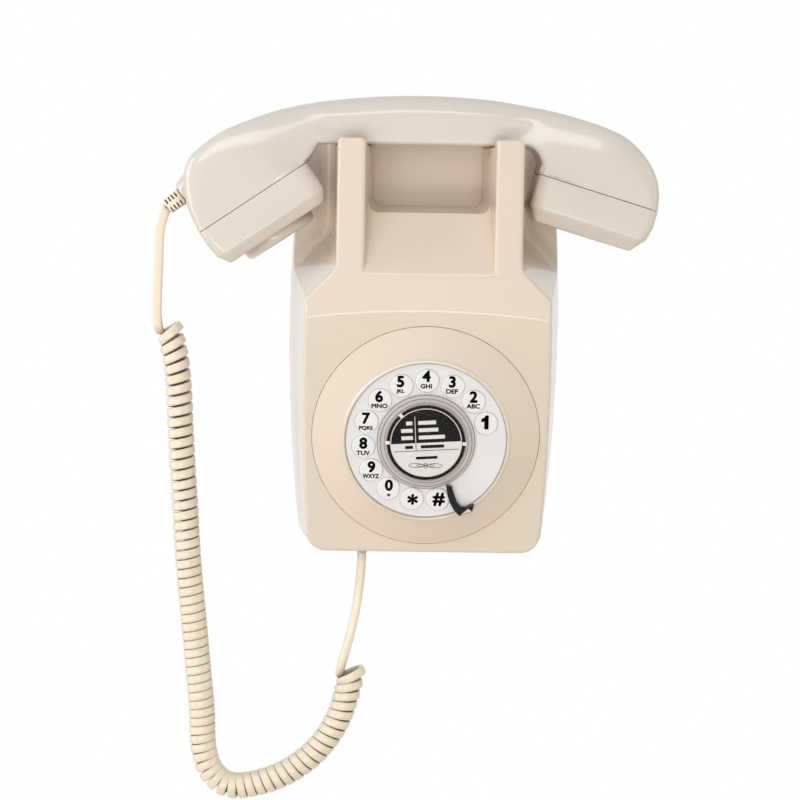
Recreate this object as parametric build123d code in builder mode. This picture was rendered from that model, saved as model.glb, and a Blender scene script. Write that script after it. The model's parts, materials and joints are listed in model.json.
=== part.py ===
from build123d import *
import os
from math import cos, pi, radians, sin, sqrt, tan

# A wall telephone: a case on a base plate, a ring of push keys laid out like a
# rotary dial, a handset lying on two prongs, and a curly cord between the two.
# Frame: origin in the wall plane, half way between the two wall screws.
# +X is to the viewer's right, +Z is up, and the front faces -Y.  Millimetres.

# ---------------------------------------------------------------- case
WALL = 2.6                # moulded wall thickness
CASE_TOP = 98.0           # highest point of the back portion
CASE_LOW = -109.6         # bottom edge at the wall
CASE_LOW_FRONT = -106.2   # bottom edge at the foremost plane
FORM_DEPTH = 86.0         # plane that the sides are drafted to
BACK_HALF = 68.7          # half width at the wall
FRONT_HALF = 58.9         # half width at FORM_DEPTH
BACK_BARREL = 900.0       # radius of the barrelled sides at the wall
FRONT_BARREL = 1300.0
CORNER = 10.5
CREASE_Z = 13.0           # where the upright face meets the sloping dial face
CREASE_DEPTH = 83.0
FACE_TILT = 12.0          # the dial face leans back towards its foot
CROWN = 1.35              # the upright face falls back this much at its sides
EDGE_ROUND = 1.8          # the long front edges
CREASE_ROUND = 4.0
PRONG_TIP_ROUND = 2.4
SADDLE_ROUND = 1.0

PRONG_TOP = 95.2
PRONG_OUT = 44.6          # outer side of the prongs, at the front
PRONG_DRAFT = 2.0
SHOULDER_DEPTH = 11.0     # the shoulders behind the handset's ends
SHOULDER_DRAFT = 11.4
SHOULDER_CORNER_Z = 32.6  # where a prong's side meets its slanting shoulder wall
SHOULDER_ROUND = 9.0

RECESS_HALF = 31.3        # half width between the prongs, at the front
RECESS_HALF_BACK = 27.0
RECESS_FOOT_Z = 30.3
LIP_DEPTH, LIP_Z = 62.0, 59.6
POCKET_DEPTH, POCKET_Z = 21.0, 62.6

SADDLE_Z = 92.0           # what the handle lies on
SADDLE_FRONT = 72.0
SADDLE_BACK = 21.0

# ---------------------------------------------------------------- dial
DIAL_DOWN = 63.0          # dial centre, below the crease along the face
SURROUND_R = 55.3
SURROUND_RISE = 7.6
PLATE_R = 39.1
PLATE_TOP, PLATE_THICK = 7.0, 2.0
KEY_PITCH_R = 30.3
KEY_R = 5.65
KEY_TOP = 7.9
KEY_GAP = 0.2
KEY_STEP = 24.0           # degrees from key to key
FIRST_KEY = 18.0          # degrees above the horizontal, for key 1
KEY_NAMES = ["1", "2", "3", "4", "5", "6", "7", "8", "9", "0", "star", "hash"]
HUB_R = 23.8
BUTTON_R = 19.0
BUTTON_TOP = 10.0

# ---------------------------------------------------------------- dial seat and fixings
LEDGE_OUT, LEDGE_IN = 58.0, 50.0
SEAM = 0.25               # gap round the dial surround
SEAT_W = -2.4             # underside of the surround's rim, from the face
RIM_R = 40.3              # top edge of the surround's cone
SKIRT_IN, SKIRT_OUT = 37.5, 40.0
SKIRT_W = -9.0
BOARD_R = 37.2
MAT_W = -5.4
KEY_FOOT, KEY_TAB, KEY_TRAVEL = 1.0, 1.2, 1.2
BUTTON_STEM_R, BUTTON_FOOT, BUTTON_TRAVEL = 17.0, 3.4, 1.0
CARD_R, CARD_THICK = 18.4, 0.3
STOP_W, STOP_THICK = 9.6, 1.6
STOP_TIP, STOP_HEEL, STOP_TOE = (10.2, -21.4), (17.0, -36.8), (23.4, -31.6)

BASE_THICK = 3.0
WALL_SCREW_STEP = 100.0
KEYHOLE_R, KEYHOLE_SLOT = 4.5, 4.4
CASE_SCREWS = [(-50, -90), (50, -90), (-22, 82), (22, 82)]
SCREW_R, BOSS_R, BOSS_START = 1.5, 4.0, 3.3
LOW_BOSS_REACH, HIGH_BOSS_REACH = 60.0, 19.0
BOARD_DEPTH, BOARD_THICK = 8.0, 1.6
BOARD_SCREWS = [(-38, -30), (38, -30), (-38, 20), (38, 20)]
BOARD_POST_R, BOARD_SCREW_R, BOARD_SCREW_HEAD_R = 3.0, 1.2, 2.6
MAIN_BOARD_WIDE, MAIN_BOARD_TALL, MAIN_BOARD_Z = 86.0, 60.0, -5.0
CHIPS = [(-14, 4, 18, 8), (12, -18, 12, 12)]   # x, z, width and height of each
CANS, CAN_R = [(-28, -20), (-18, -20), (28, 8)], 3.5
COMPONENT_TALL = 5.0
RIB_X, RIB_Z, RIB_THICK, RIB_TALL = 56.0, -20.0, 1.6, 90.0
GONG_X, GONG_Z, GONG_R, GONG_BACK = 25.0, -79.0, 18.5, 9.0
GONG_WALL, GONG_CROWN_R, GONG_DEEP, GONG_POST_R = 1.2, 8.0, 11.0, 3.0
COIL_Z, COIL_WIDE, COIL_TALL, COIL_DEEP = -48.0, 26.0, 16.0, 14.0
COIL_BACK = BOARD_DEPTH + BOARD_THICK + 6   # clear of the board
COIL_LEG, COIL_LEG_X, COIL_LEG_DOWN = 4.0, 9.0, 5.5
CLAPPER_DEPTH, CLAPPER_PIVOT_Z, CLAPPER_THICK = 33.0, -44.0, 3.0
CLAPPER_ARM, CLAPPER_HEAD_R = 2.0, 4.2

PLUNGER_X, PLUNGER_R = 34.8, 2.3
TAB_REACH, TAB_WIDTH, TAB_THICK = 6.6, 5.2, 3.4   # the plunger's arm, towards the pocket
TAB_GAP = 0.4
BAR_Z, BAR_THICK, BAR_DEEP = 46.0, 4.0, 7.0
SWITCH_BOX_WIDE, SWITCH_BOX_TALL, SWITCH_BOX_DOWN = 20.0, 12.0, 14.0
SWITCH_ARM_WIDE, SWITCH_ARM_THICK = 14.0, 2.4
JACK_X, JACK_DEPTH, JACK_WIDE, JACK_THICK, JACK_LOW = 26.0, 20.0, 13.0, 11.0, -108.6
JACK_WALL, JACK_TALL, JACK_HOLLOW = 1.5, 14.0, 10.0
SWITCH_X, SWITCH_DEPTH, SWITCH_SLOT, SWITCH_TRAVEL = 44.0, 20.0, 9.0, 4.0
SWITCH_KNOB_WIDE, SWITCH_KNOB_THICK, SWITCH_KNOB_TALL, SWITCH_KNOB_OUT = 4.0, 2.6, 6.8, 0.9
CORD_X, CORD_DEPTH = -30.0, 35.0
GROMMET_R, GROMMET_LOW = 4.5, -110.2

# ---------------------------------------------------------------- handset
HANDSET_DEPTH = 46.0      # its middle plane, from the wall
END_HALF = 26.0           # half depth of the ends
HANDLE_HALF = 16.5        # half depth of the handle
HANDLE_LOW = 92.3
HANDLE_INNER_LEFT, HANDLE_INNER_RIGHT = (-54.5, HANDLE_LOW), (47.8, HANDLE_LOW)
MOUTH_ANGLE = 34.2        # the mouth cap's parting plane
EAR_ANGLE = -16.6
CAP_LENGTH = 62.5
CAP_CORNER = 13.0

MOUTH_CENTRE = (-85.4, 65.8)
EAR_CENTRE = (82.6, 70.6)
CAP_SEAM = 0.3
DISC_R = 19.4
# the handset's back, from its ear end to its mouth end
HANDSET_BACK = [(113.7, 72.0), (108.9, 85.3), (94.8, 98.7), (72.6, 106.8), (34.1, 113.7), (-15.0, 116.2),
                (-59.1, 111.7), (-87.8, 103.2), (-110.5, 90.0), (-118.6, 76.0), (-117.0, 61.0)]
# seen from above: its half depth along its length
HALF_PLAN = [
    (-130, END_HALF), (-64, END_HALF), (-44, HANDLE_HALF), (40, HANDLE_HALF), (60, END_HALF), (130, END_HALF),
]
MOUTH_HOLLOW, EAR_HOLLOW = 22.0, 18.0
HANDLE_PASSAGE = [(-78, 92), (-66, 97.5), (62, 97.5), (75, 90), (84, 94), (68, 106), (-68, 106), (-84, 97)]
PASSAGE_HALF = 9.0
WEIGHT_Z, WEIGHT_LONG, WEIGHT_TALL, WEIGHT_HALF = 101.6, 64.0, 6.0, 7.0
MOUTH_STRAIGHT, MOUTH_BEVEL = 16.0, 4.6   # each cap's straight wall and its bevelled front
EAR_STRAIGHT, EAR_BEVEL = 16.4, 6.0
CAP_WALL = 2.5
DISC_FOOT, DISC_THICK = 1.5, 3.0
SOUND_HOLE_R = 1.2
BOOT_AT, BOOT_ANGLE = (-121.5, 65.4), 218.5
BOOT_LENGTH, BOOT_SPIGOT_R, BOOT_SPIGOT_LENGTH = 8.4, 2.8, 11.2
BOOT_R, BOOT_TIP_R = 4.8, 3.7
COLLAR_R, COLLAR_TIP_R = 10.0, 6.6

# ---------------------------------------------------------------- cord
FLAT_WIDTH = 4.6
COIL_OUTSIDE = 12.5
# from the boot down to the coil, round the coil's long loop, and up to the case
UPPER_ROUTE = [
    (-128.11, -46, 60.14), (-131.4, -46, 57.5), (-133.2, -46, 49), (-132.6, -45.8, 34), (-133.1, -45.5, 18),
    (-131.8, -45, 7), (-127.6, -44.6, 0.5),
]
COIL_ROUTE = [
    (-127.2, -44.5, 1.5), (-123.4, -44.5, -12.5), (-121.7, -44, -30), (-120.6, -43.5, -55), (-118.4, -43, -86),
    (-116.6, -42, -116), (-113.5, -41, -146), (-110.8, -40, -174), (-108.8, -39.5, -193), (-108.7, -39, -209),
    (-105.6, -38.5, -222), (-96.8, -38, -230.6), (-84, -37.5, -230.2), (-68, -37, -225), (-53.4, -36.5, -215),
    (-43, -36, -201.5), (-37, -35.5, -187), (-33.9, -35.2, -171),
]
LOWER_ROUTE = [
    (-35.5, -35.2, -174), (-37.6, -35.2, -164.5), (-35.2, -35.1, -153), (-32.3, -35, -139), (-30.7, -35, -125.5),
    (-30, -35, -116), (-30, -35, -110.2),
]

os.makedirs("parts", exist_ok=True)


def save(builder, label):
    """Label a finished piece and write it."""
    builder.part.label = label
    export_step(builder.part, f"parts/{label}.step")


def polar(radius, angle):
    """A point at a radius and an angle in degrees."""
    return (radius * cos(radians(angle)), radius * sin(radians(angle)))


def is_above(edge, height):
    """Whether an edge lies above a height over the dial face."""
    return (edge.center() - DIAL.origin).dot(DIAL.z_dir) > height


def face_point(down):
    """A point on the dial face's centre line, so far below the crease."""
    return (0, -CREASE_DEPTH + down * sin(radians(FACE_TILT)), CREASE_Z - down * cos(radians(FACE_TILT)))


# The dial's own plane: x to the right, y up the face, z out of it.
DIAL = Plane(
    origin=face_point(DIAL_DOWN),
    x_dir=(1, 0, 0),
    z_dir=(0, -cos(radians(FACE_TILT)), -sin(radians(FACE_TILT))),
)


# ================================================================ front case
def case_outline(depth, half, barrel, low, inset):
    """Outline of the case on a plane at one depth, with barrelled sides."""
    half, top, low = half - inset, CASE_TOP - inset, low + inset
    top_half, low_half = half - top**2 / (2 * barrel), half - low**2 / (2 * barrel)
    with BuildSketch(Plane.XZ.offset(depth)) as outline:
        with BuildLine():
            ThreePointArc((low_half, low), (half, 0), (top_half, top))
            Line((top_half, top), (-top_half, top))
            ThreePointArc((-top_half, top), (-half, 0), (-low_half, low))
            Line((-low_half, low), (low_half, low))
        make_face()
        fillet(outline.vertices(), CORNER - inset)
    return outline.sketch


def shoulder_cutter(inset):
    """What is cut away at the right of the prongs to clear the handset's end."""
    flare = tan(radians(PRONG_DRAFT))
    slant = tan(radians(SHOULDER_DRAFT)) * sqrt(2)
    back = SHOULDER_DEPTH - inset
    sections = []
    for depth, rounding in ((back, 14), (FORM_DEPTH + 6, 7)):
        ahead = CREASE_DEPTH - depth
        side = PRONG_OUT + ahead * flare - inset
        reach = PRONG_OUT + SHOULDER_CORNER_Z + ahead * slant - inset * sqrt(2)
        far = 130
        with BuildSketch(Plane.XZ.offset(depth)) as section:
            with BuildLine():
                Polyline((side, far), (side, reach - side), (far, reach - far), (far, far), close=True)
            make_face()
            corner = section.vertices().sort_by_distance((side, reach - side))[0]
            fillet(corner, rounding)
        sections.append(section.sketch)
    with BuildPart() as cutter:
        loft(sections, ruled=True)
        if inset == 0:
            deepest = cutter.faces().sort_by(Axis.Y)[-1]
            inner_edges = deepest.edges().filter_by(lambda e: e.center().X < 100 and e.center().Z < 100)
            fillet(inner_edges, SHOULDER_ROUND)
    return cutter.part


def recess_cutter(inset):
    """The finger recess between the prongs: a ramp, a lip and a pocket."""
    with BuildPart() as cutter:
        with BuildSketch(Plane.YZ):
            with BuildLine():
                slope = (LIP_Z - RECESS_FOOT_Z) / (CREASE_DEPTH - LIP_DEPTH)
                Polyline(
                    (-CREASE_DEPTH - 12, RECESS_FOOT_Z - 12 * slope),
                    (-LIP_DEPTH, LIP_Z),
                    (-POCKET_DEPTH, POCKET_Z),
                    (-POCKET_DEPTH, 140),
                    (-CREASE_DEPTH - 12, 140),
                    close=True,
                )
            make_face()
            if inset:
                offset(amount=inset, kind=Kind.INTERSECTION)
        extrude(amount=60, both=True)
        run = (RECESS_HALF - RECESS_HALF_BACK) / (CREASE_DEPTH - POCKET_DEPTH)
        front_half = RECESS_HALF + 20 * run + inset
        back_half = RECESS_HALF_BACK - 10 * run + inset
        with BuildSketch(Plane.XY.offset(-20)):
            with BuildLine():
                Polyline(
                    (-front_half, -CREASE_DEPTH - 20),
                    (front_half, -CREASE_DEPTH - 20),
                    (back_half, -POCKET_DEPTH + 10),
                    (-back_half, -POCKET_DEPTH + 10),
                    close=True,
                )
            make_face()
        extrude(amount=200, mode=Mode.INTERSECT)
        floor = cutter.faces().filter_by(lambda f: f.normal_at().Z < -0.95)
        fillet(floor.edges().filter_by(lambda e: abs(e.center().X) > 20), 5 + inset)
    return cutter.part


def case_form(inset):
    """The case as a solid block, or its hollow when inset is the wall."""
    lean = tan(radians(FACE_TILT))
    with BuildPart() as form:
        start = 0 if inset == 0 else -1
        loft(
            [
                case_outline(start, BACK_HALF, BACK_BARREL, CASE_LOW, inset),
                case_outline(FORM_DEPTH, FRONT_HALF, FRONT_BARREL, CASE_LOW_FRONT, inset),
            ],
            ruled=True,
        )
        # the sloping dial face
        with BuildSketch(Plane.YZ):
            with BuildLine():
                face_inset = inset / cos(radians(FACE_TILT))
                Polyline(
                    (-CREASE_DEPTH + face_inset - 40 * lean, CREASE_Z + 40),
                    (-CREASE_DEPTH + face_inset + 140 * lean, CREASE_Z - 140),
                    (-CREASE_DEPTH - 40, CREASE_Z - 140),
                    (-CREASE_DEPTH - 40, CREASE_Z + 40),
                    close=True,
                )
            make_face()
        extrude(amount=90, both=True, mode=Mode.SUBTRACT)
        # the crowned upright face
        front = -CREASE_DEPTH + inset
        with BuildSketch(Plane.XY.offset(CASE_LOW - 10)):
            with BuildLine():
                ThreePointArc((-75, front + CROWN), (0, front), (75, front + CROWN))
                Polyline((75, front + CROWN), (75, front - 20), (-75, front - 20), (-75, front + CROWN))
            make_face()
        extrude(amount=260, mode=Mode.SUBTRACT)
        shoulder = shoulder_cutter(inset)
        add(shoulder, mode=Mode.SUBTRACT)
        add(shoulder.mirror(Plane.YZ), mode=Mode.SUBTRACT)
        add(recess_cutter(inset), mode=Mode.SUBTRACT)
        # the trough that the handle lies in, and the prongs' height in front of it
        with BuildSketch(Plane.YZ):
            with BuildLine():
                Polyline(
                    (-SADDLE_FRONT - inset, 150),
                    (-SADDLE_FRONT - inset, SADDLE_Z - inset),
                    (-SADDLE_BACK + inset, SADDLE_Z - inset),
                    (-SADDLE_BACK + inset, 150),
                    close=True,
                )
            make_face()
        extrude(amount=90, both=True, mode=Mode.SUBTRACT)
        with BuildSketch(Plane.YZ):
            with Locations((-SADDLE_FRONT, PRONG_TOP - inset)):
                Rectangle(40, 60, align=(Align.MAX, Align.MIN))
        extrude(amount=90, both=True, mode=Mode.SUBTRACT)
    return form.part


def hole_through(plane, places, radius, depth):
    """Round cutters, for openings that are placed on some plane."""
    with BuildPart() as cutters:
        with BuildSketch(plane):
            with Locations(*places):
                Circle(radius)
        extrude(amount=depth, both=True)
    return cutters.part


def prong_tip_edges(form):
    """The two short edges at the top of each prong, front to back."""
    at_top = form.edges().filter_by(lambda e: abs(e.center().Z - PRONG_TOP) < 0.2)
    return at_top.filter_by(lambda e: e.bounding_box().size.Y > 8)


def crease_edges(form):
    """The long edge between the upright face and the sloping one."""
    return form.edges().filter_by(lambda e: e.length > 60 and abs(e.center().Z - CREASE_Z) < 3)


def front_edges(form):
    """The edges round the upright face, and the sides and foot of the sloping one."""
    sloping = form.faces().filter_by(lambda f: f.normal_at().dot(DIAL.z_dir) > 0.999).sort_by(SortBy.AREA)[-1]
    below = sloping.edges().filter_by(lambda e: e.center().Z < CREASE_Z - 8)
    around = form.edges().filter_by(
        lambda e: e.bounding_box().max.Y < -CREASE_DEPTH + CROWN and e.center().Z > CREASE_Z - 3
        and not (e.length > 60 and e.center().Z < CREASE_Z + 3))
    return ShapeList(list(below) + list(around))


def saddle_edges(form):
    """The sides of what the handle lies on, along each prong."""
    return form.edges().filter_by(
        lambda e: abs(e.center().Z - SADDLE_Z) < 0.1 and e.bounding_box().size.Y > 40)


with BuildPart() as front_case:
    add(case_form(0))
    fillet(prong_tip_edges(front_case), PRONG_TIP_ROUND)
    fillet(crease_edges(front_case), CREASE_ROUND)
    fillet(front_edges(front_case), EDGE_ROUND)
    fillet(saddle_edges(front_case), SADDLE_ROUND)
    add(case_form(WALL), mode=Mode.SUBTRACT)
    # the seat for the dial surround, and the ledge under it
    with BuildSketch(DIAL.offset(-WALL - 2.2)):
        Circle(LEDGE_OUT)
        Circle(LEDGE_IN, mode=Mode.SUBTRACT)
    extrude(amount=2.3)
    with BuildSketch(DIAL.offset(-WALL + 0.1)):
        Circle(SURROUND_R + SEAM)
    extrude(amount=20, mode=Mode.SUBTRACT)
    with BuildSketch(DIAL.offset(-WALL - 1)):
        Circle(LEDGE_IN)
    extrude(amount=20, mode=Mode.SUBTRACT)
    # bosses for the screws that hold the base plate
    for x, z in CASE_SCREWS:
        reach = LOW_BOSS_REACH if z < 0 else HIGH_BOSS_REACH
        with BuildSketch(Plane.XZ.offset(BOSS_START)):
            with Locations((x, z)):
                Circle(BOSS_R)
                Circle(SCREW_R + 0.05, mode=Mode.SUBTRACT)
        extrude(amount=reach - BOSS_START)
    # holes: two plungers in the saddle; cord, jack and switch in the bottom wall
    add(hole_through(Plane.XY.offset(SADDLE_Z), [(side * PLUNGER_X, -HANDSET_DEPTH) for side in (-1, 1)],
                     PLUNGER_R + 0.3, 6), mode=Mode.SUBTRACT)
    # the notches that the plungers' arms lie in while they are pressed
    with BuildSketch(Plane.XY.offset(SADDLE_Z)):
        for side in (-1, 1):
            with Locations((side * (PLUNGER_X - TAB_REACH / 2), -HANDSET_DEPTH)):
                Rectangle(TAB_REACH + 2 * TAB_GAP, TAB_WIDTH + 2 * TAB_GAP)
    extrude(amount=-TAB_THICK - TAB_GAP, mode=Mode.SUBTRACT)
    add(hole_through(Plane.XY.offset(CASE_LOW), [(CORD_X, -CORD_DEPTH)], GROMMET_R + 0.15, 8),
        mode=Mode.SUBTRACT)
    with BuildSketch(Plane.XY.offset(CASE_LOW - 2)):
        with Locations((JACK_X, -JACK_DEPTH)):
            Rectangle(JACK_WIDE + 0.4, JACK_THICK + 0.4)
        with Locations((SWITCH_X, -SWITCH_DEPTH)):
            Rectangle(SWITCH_SLOT, 3.4)
    extrude(amount=8, mode=Mode.SUBTRACT)
save(front_case, "front_case")


# ================================================================ base plate
def plate_outline(clearance):
    """The base plate's outline: the inside of the case's rim, less a clearance."""
    return case_outline(0, BACK_HALF, BACK_BARREL, CASE_LOW, WALL + clearance)


with BuildPart() as base_plate:
    add(plate_outline(0.8))
    extrude(amount=BASE_THICK, dir=(0, -1, 0))
    # keyholes: a round way in for each wall screw's head, with a slot above it
    with BuildSketch(Plane.XZ):
        with Locations((0, WALL_SCREW_STEP / 2), (0, -WALL_SCREW_STEP / 2)):
            Circle(KEYHOLE_R)
            with Locations((0, KEYHOLE_R + 1)):
                SlotOverall(KEYHOLE_R * 2 + 6, KEYHOLE_SLOT, rotation=90)
    extrude(amount=BASE_THICK, mode=Mode.SUBTRACT)
    # clearance holes for the case screws
    with BuildSketch(Plane.XZ):
        with Locations(*CASE_SCREWS):
            Circle(SCREW_R + 0.4)
    extrude(amount=BASE_THICK, mode=Mode.SUBTRACT)
    # posts for the main board and stiffening ribs
    with BuildSketch(Plane.XZ.offset(BASE_THICK)):
        with Locations(*BOARD_SCREWS):
            Circle(BOARD_POST_R)
            Circle(BOARD_SCREW_R + 0.05, mode=Mode.SUBTRACT)
        with Locations((-RIB_X, RIB_Z), (RIB_X, RIB_Z)):
            Rectangle(RIB_THICK, RIB_TALL)
    extrude(amount=BOARD_DEPTH - BASE_THICK)
save(base_plate, "base_plate")


# ================================================================ dial
with BuildPart() as dial_surround:
    with BuildSketch(Plane(DIAL.origin, x_dir=DIAL.x_dir, z_dir=-DIAL.y_dir)):
        with BuildLine():
            Polyline(
                (SURROUND_R, SEAT_W),
                (SURROUND_R, 0.3),
                (RIM_R, SURROUND_RISE),
                (PLATE_R + 0.15, SURROUND_RISE),
                (PLATE_R + 0.15, PLATE_TOP - PLATE_THICK),
                (SKIRT_IN, PLATE_TOP - PLATE_THICK),
                (SKIRT_IN, SKIRT_W),
                (SKIRT_OUT, SKIRT_W),
                (SKIRT_OUT, 4.4),
                (SURROUND_R - 3.0, SEAT_W),
                close=True,
            )
        make_face()
    revolve(axis=Axis(DIAL.origin, DIAL.z_dir))
    rim = dial_surround.edges().filter_by(GeomType.CIRCLE).filter_by(
        lambda e: abs(e.radius - RIM_R) < 0.01 or (abs(e.radius - SURROUND_R) < 0.01 and is_above(e, 0.2)))
    fillet(rim, 0.25)
save(dial_surround, "dial_surround")

key_ring = [polar(KEY_PITCH_R, FIRST_KEY + KEY_STEP * i) for i in range(len(KEY_NAMES))]
with BuildPart() as number_plate:
    with BuildSketch(DIAL.offset(PLATE_TOP - PLATE_THICK)):
        Circle(PLATE_R)
        Circle(BUTTON_STEM_R + 0.3, mode=Mode.SUBTRACT)
        with Locations(*key_ring):
            Circle(KEY_R + KEY_GAP, mode=Mode.SUBTRACT)
    extrude(amount=PLATE_THICK)
    top_edges = number_plate.edges().filter_by(GeomType.CIRCLE).filter_by(
        lambda e: abs(e.radius - KEY_R - KEY_GAP) < 0.01 and is_above(e, PLATE_TOP - 0.1))
    fillet(top_edges, 0.2)
save(number_plate, "number_plate")

for index, (name, place) in enumerate(zip(KEY_NAMES, key_ring)):
    with BuildPart() as key:
        with BuildSketch(DIAL.offset(KEY_FOOT)):
            with Locations(place):
                Circle(KEY_R)
        extrude(amount=KEY_TOP - KEY_FOOT)
        crown = key.edges().filter_by(GeomType.CIRCLE).filter_by(lambda e: is_above(e, KEY_TOP - 0.1))
        fillet(crown, 0.6)
        # the tabs that stop it under the plate, in line with the dial's radius
        with BuildSketch(DIAL.offset(PLATE_TOP - PLATE_THICK - 0.1 - KEY_TAB)):
            with Locations(Location(place + (0,), (0, 0, FIRST_KEY + KEY_STEP * index))):
                Rectangle(2 * KEY_R + 3.0, 4.0)
        extrude(amount=KEY_TAB)
    save(key, f"key_{name}")

with BuildPart() as hub_ring:
    with BuildSketch(Plane(DIAL.origin, x_dir=DIAL.x_dir, z_dir=-DIAL.y_dir)):
        with BuildLine():
            bore, crown, shoulder = BUTTON_R + 0.3, BUTTON_TOP + 0.2, BUTTON_TOP - 1.8
            Polyline((bore, PLATE_TOP), (bore, crown), (HUB_R - 2.0, crown))
            ThreePointArc((HUB_R - 2.0, crown), (HUB_R - 0.6, crown - 0.6), (HUB_R, shoulder))
            Polyline((HUB_R, shoulder), (HUB_R, PLATE_TOP), (bore, PLATE_TOP))
        make_face()
    revolve(axis=Axis(DIAL.origin, DIAL.z_dir))
save(hub_ring, "hub_ring")

with BuildPart() as redial_button:
    with BuildSketch(DIAL.offset(PLATE_TOP + BUTTON_TRAVEL + 0.4)):
        Circle(BUTTON_R)
    extrude(amount=BUTTON_TOP - PLATE_TOP - BUTTON_TRAVEL - 0.4)
    with BuildSketch(DIAL.offset(BUTTON_FOOT)):
        Circle(BUTTON_STEM_R)
        Circle(BUTTON_STEM_R - 2.0, mode=Mode.SUBTRACT)
    extrude(amount=PLATE_TOP + BUTTON_TRAVEL + 0.4 - BUTTON_FOOT)
    with BuildSketch(DIAL.offset(BUTTON_FOOT)):
        Circle(BUTTON_STEM_R + 1.2)
        Circle(BUTTON_STEM_R - 2.0, mode=Mode.SUBTRACT)
    extrude(amount=PLATE_TOP - PLATE_THICK - 0.15 - BUTTON_FOOT)
    # the shallow seat for the card
    with BuildSketch(DIAL.offset(BUTTON_TOP - CARD_THICK)):
        Circle(CARD_R + 0.1)
    extrude(amount=2 * CARD_THICK, mode=Mode.SUBTRACT)
save(redial_button, "redial_button")

with BuildPart() as redial_card:
    with BuildSketch(DIAL.offset(BUTTON_TOP - CARD_THICK)):
        Circle(CARD_R)
    extrude(amount=CARD_THICK)
save(redial_card, "redial_card")

with BuildPart() as card_cover:
    with BuildSketch(DIAL.offset(BUTTON_TOP)):
        Circle(BUTTON_R)
    extrude(amount=0.9)
    rim = card_cover.edges().filter_by(GeomType.CIRCLE).filter_by(lambda e: is_above(e, BUTTON_TOP + 0.8))
    fillet(rim, 0.5)
save(card_cover, "card_cover")

with BuildPart() as finger_stop:
    with BuildSketch(DIAL.offset(STOP_W)):
        with BuildLine():
            outer = ThreePointArc(STOP_TIP, (12.4, -29.6), STOP_HEEL)
            Line(outer @ 1, STOP_TOE)
            inner = ThreePointArc(STOP_TOE, (15.2, -29.0), (STOP_TIP[0] + 1.8, STOP_TIP[1] + 0.2))
            Line(inner @ 1, outer @ 0)
        make_face()
    extrude(amount=STOP_THICK)
    with BuildSketch(DIAL.offset(SURROUND_RISE)):
        with Locations(Location((20.4, -34.8, 0), (0, 0, -59))):
            Rectangle(1.1, 5.0)
    extrude(amount=STOP_W - SURROUND_RISE)
save(finger_stop, "finger_stop")

with BuildPart() as key_mat:
    with BuildSketch(DIAL.offset(MAT_W)):
        Circle(BOARD_R)
    extrude(amount=1.4)
    with BuildSketch(DIAL.offset(MAT_W + 1.4)):
        with Locations(*key_ring):
            Circle(3.6)
        Circle(6.0)
    extrude(amount=KEY_FOOT - KEY_TRAVEL - 0.3 - MAT_W - 1.4)
save(key_mat, "key_mat")

with BuildPart() as key_board:
    with BuildSketch(DIAL.offset(MAT_W - 0.1 - BOARD_THICK)):
        Circle(BOARD_R)
    extrude(amount=BOARD_THICK)
save(key_board, "key_board")

with BuildPart() as dial_back_plate:
    with BuildSketch(DIAL.offset(SKIRT_W - 0.1 - 1.6)):
        Circle(SKIRT_OUT)
        with PolarLocations(30, 3):
            Circle(4, mode=Mode.SUBTRACT)
    extrude(amount=1.6)
save(dial_back_plate, "dial_back_plate")

# ================================================================ inside the case
with BuildPart() as main_board:
    with BuildSketch(Plane.XZ.offset(BOARD_DEPTH)):
        with Locations((0, MAIN_BOARD_Z)):
            Rectangle(MAIN_BOARD_WIDE, MAIN_BOARD_TALL)
        with Locations(*BOARD_SCREWS):
            Circle(BOARD_SCREW_R + 0.4, mode=Mode.SUBTRACT)
    extrude(amount=BOARD_THICK)
    with BuildSketch(Plane.XZ.offset(BOARD_DEPTH + BOARD_THICK)):
        for x, z, wide, tall in CHIPS:
            with Locations((x, z)):
                Rectangle(wide, tall)
        with Locations(*CANS):
            Circle(CAN_R)
    extrude(amount=COMPONENT_TALL)
save(main_board, "main_board")

with BuildPart() as board_screws:
    for x, z in BOARD_SCREWS:
        with BuildSketch(Plane.XZ.offset(BASE_THICK + 1)):
            with Locations((x, z)):
                Circle(BOARD_SCREW_R)
        extrude(amount=BOARD_DEPTH + BOARD_THICK - BASE_THICK - 1)
        with BuildSketch(Plane.XZ.offset(BOARD_DEPTH + BOARD_THICK)):
            with Locations((x, z)):
                Circle(BOARD_SCREW_HEAD_R)
        extrude(amount=1.6)
save(board_screws, "board_screws")

with BuildPart() as case_screws:
    for x, z in CASE_SCREWS:
        with BuildSketch(Plane.XZ.offset(BASE_THICK - 2.0)):
            with Locations((x, z)):
                Circle(SCREW_R)
        extrude(amount=10)
        with BuildSketch(Plane.XZ.offset(0.4)):
            with Locations((x, z)):
                Circle(SCREW_R + 0.3)
        extrude(amount=BASE_THICK - 2.0 - 0.4)
save(case_screws, "case_screws")

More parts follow.
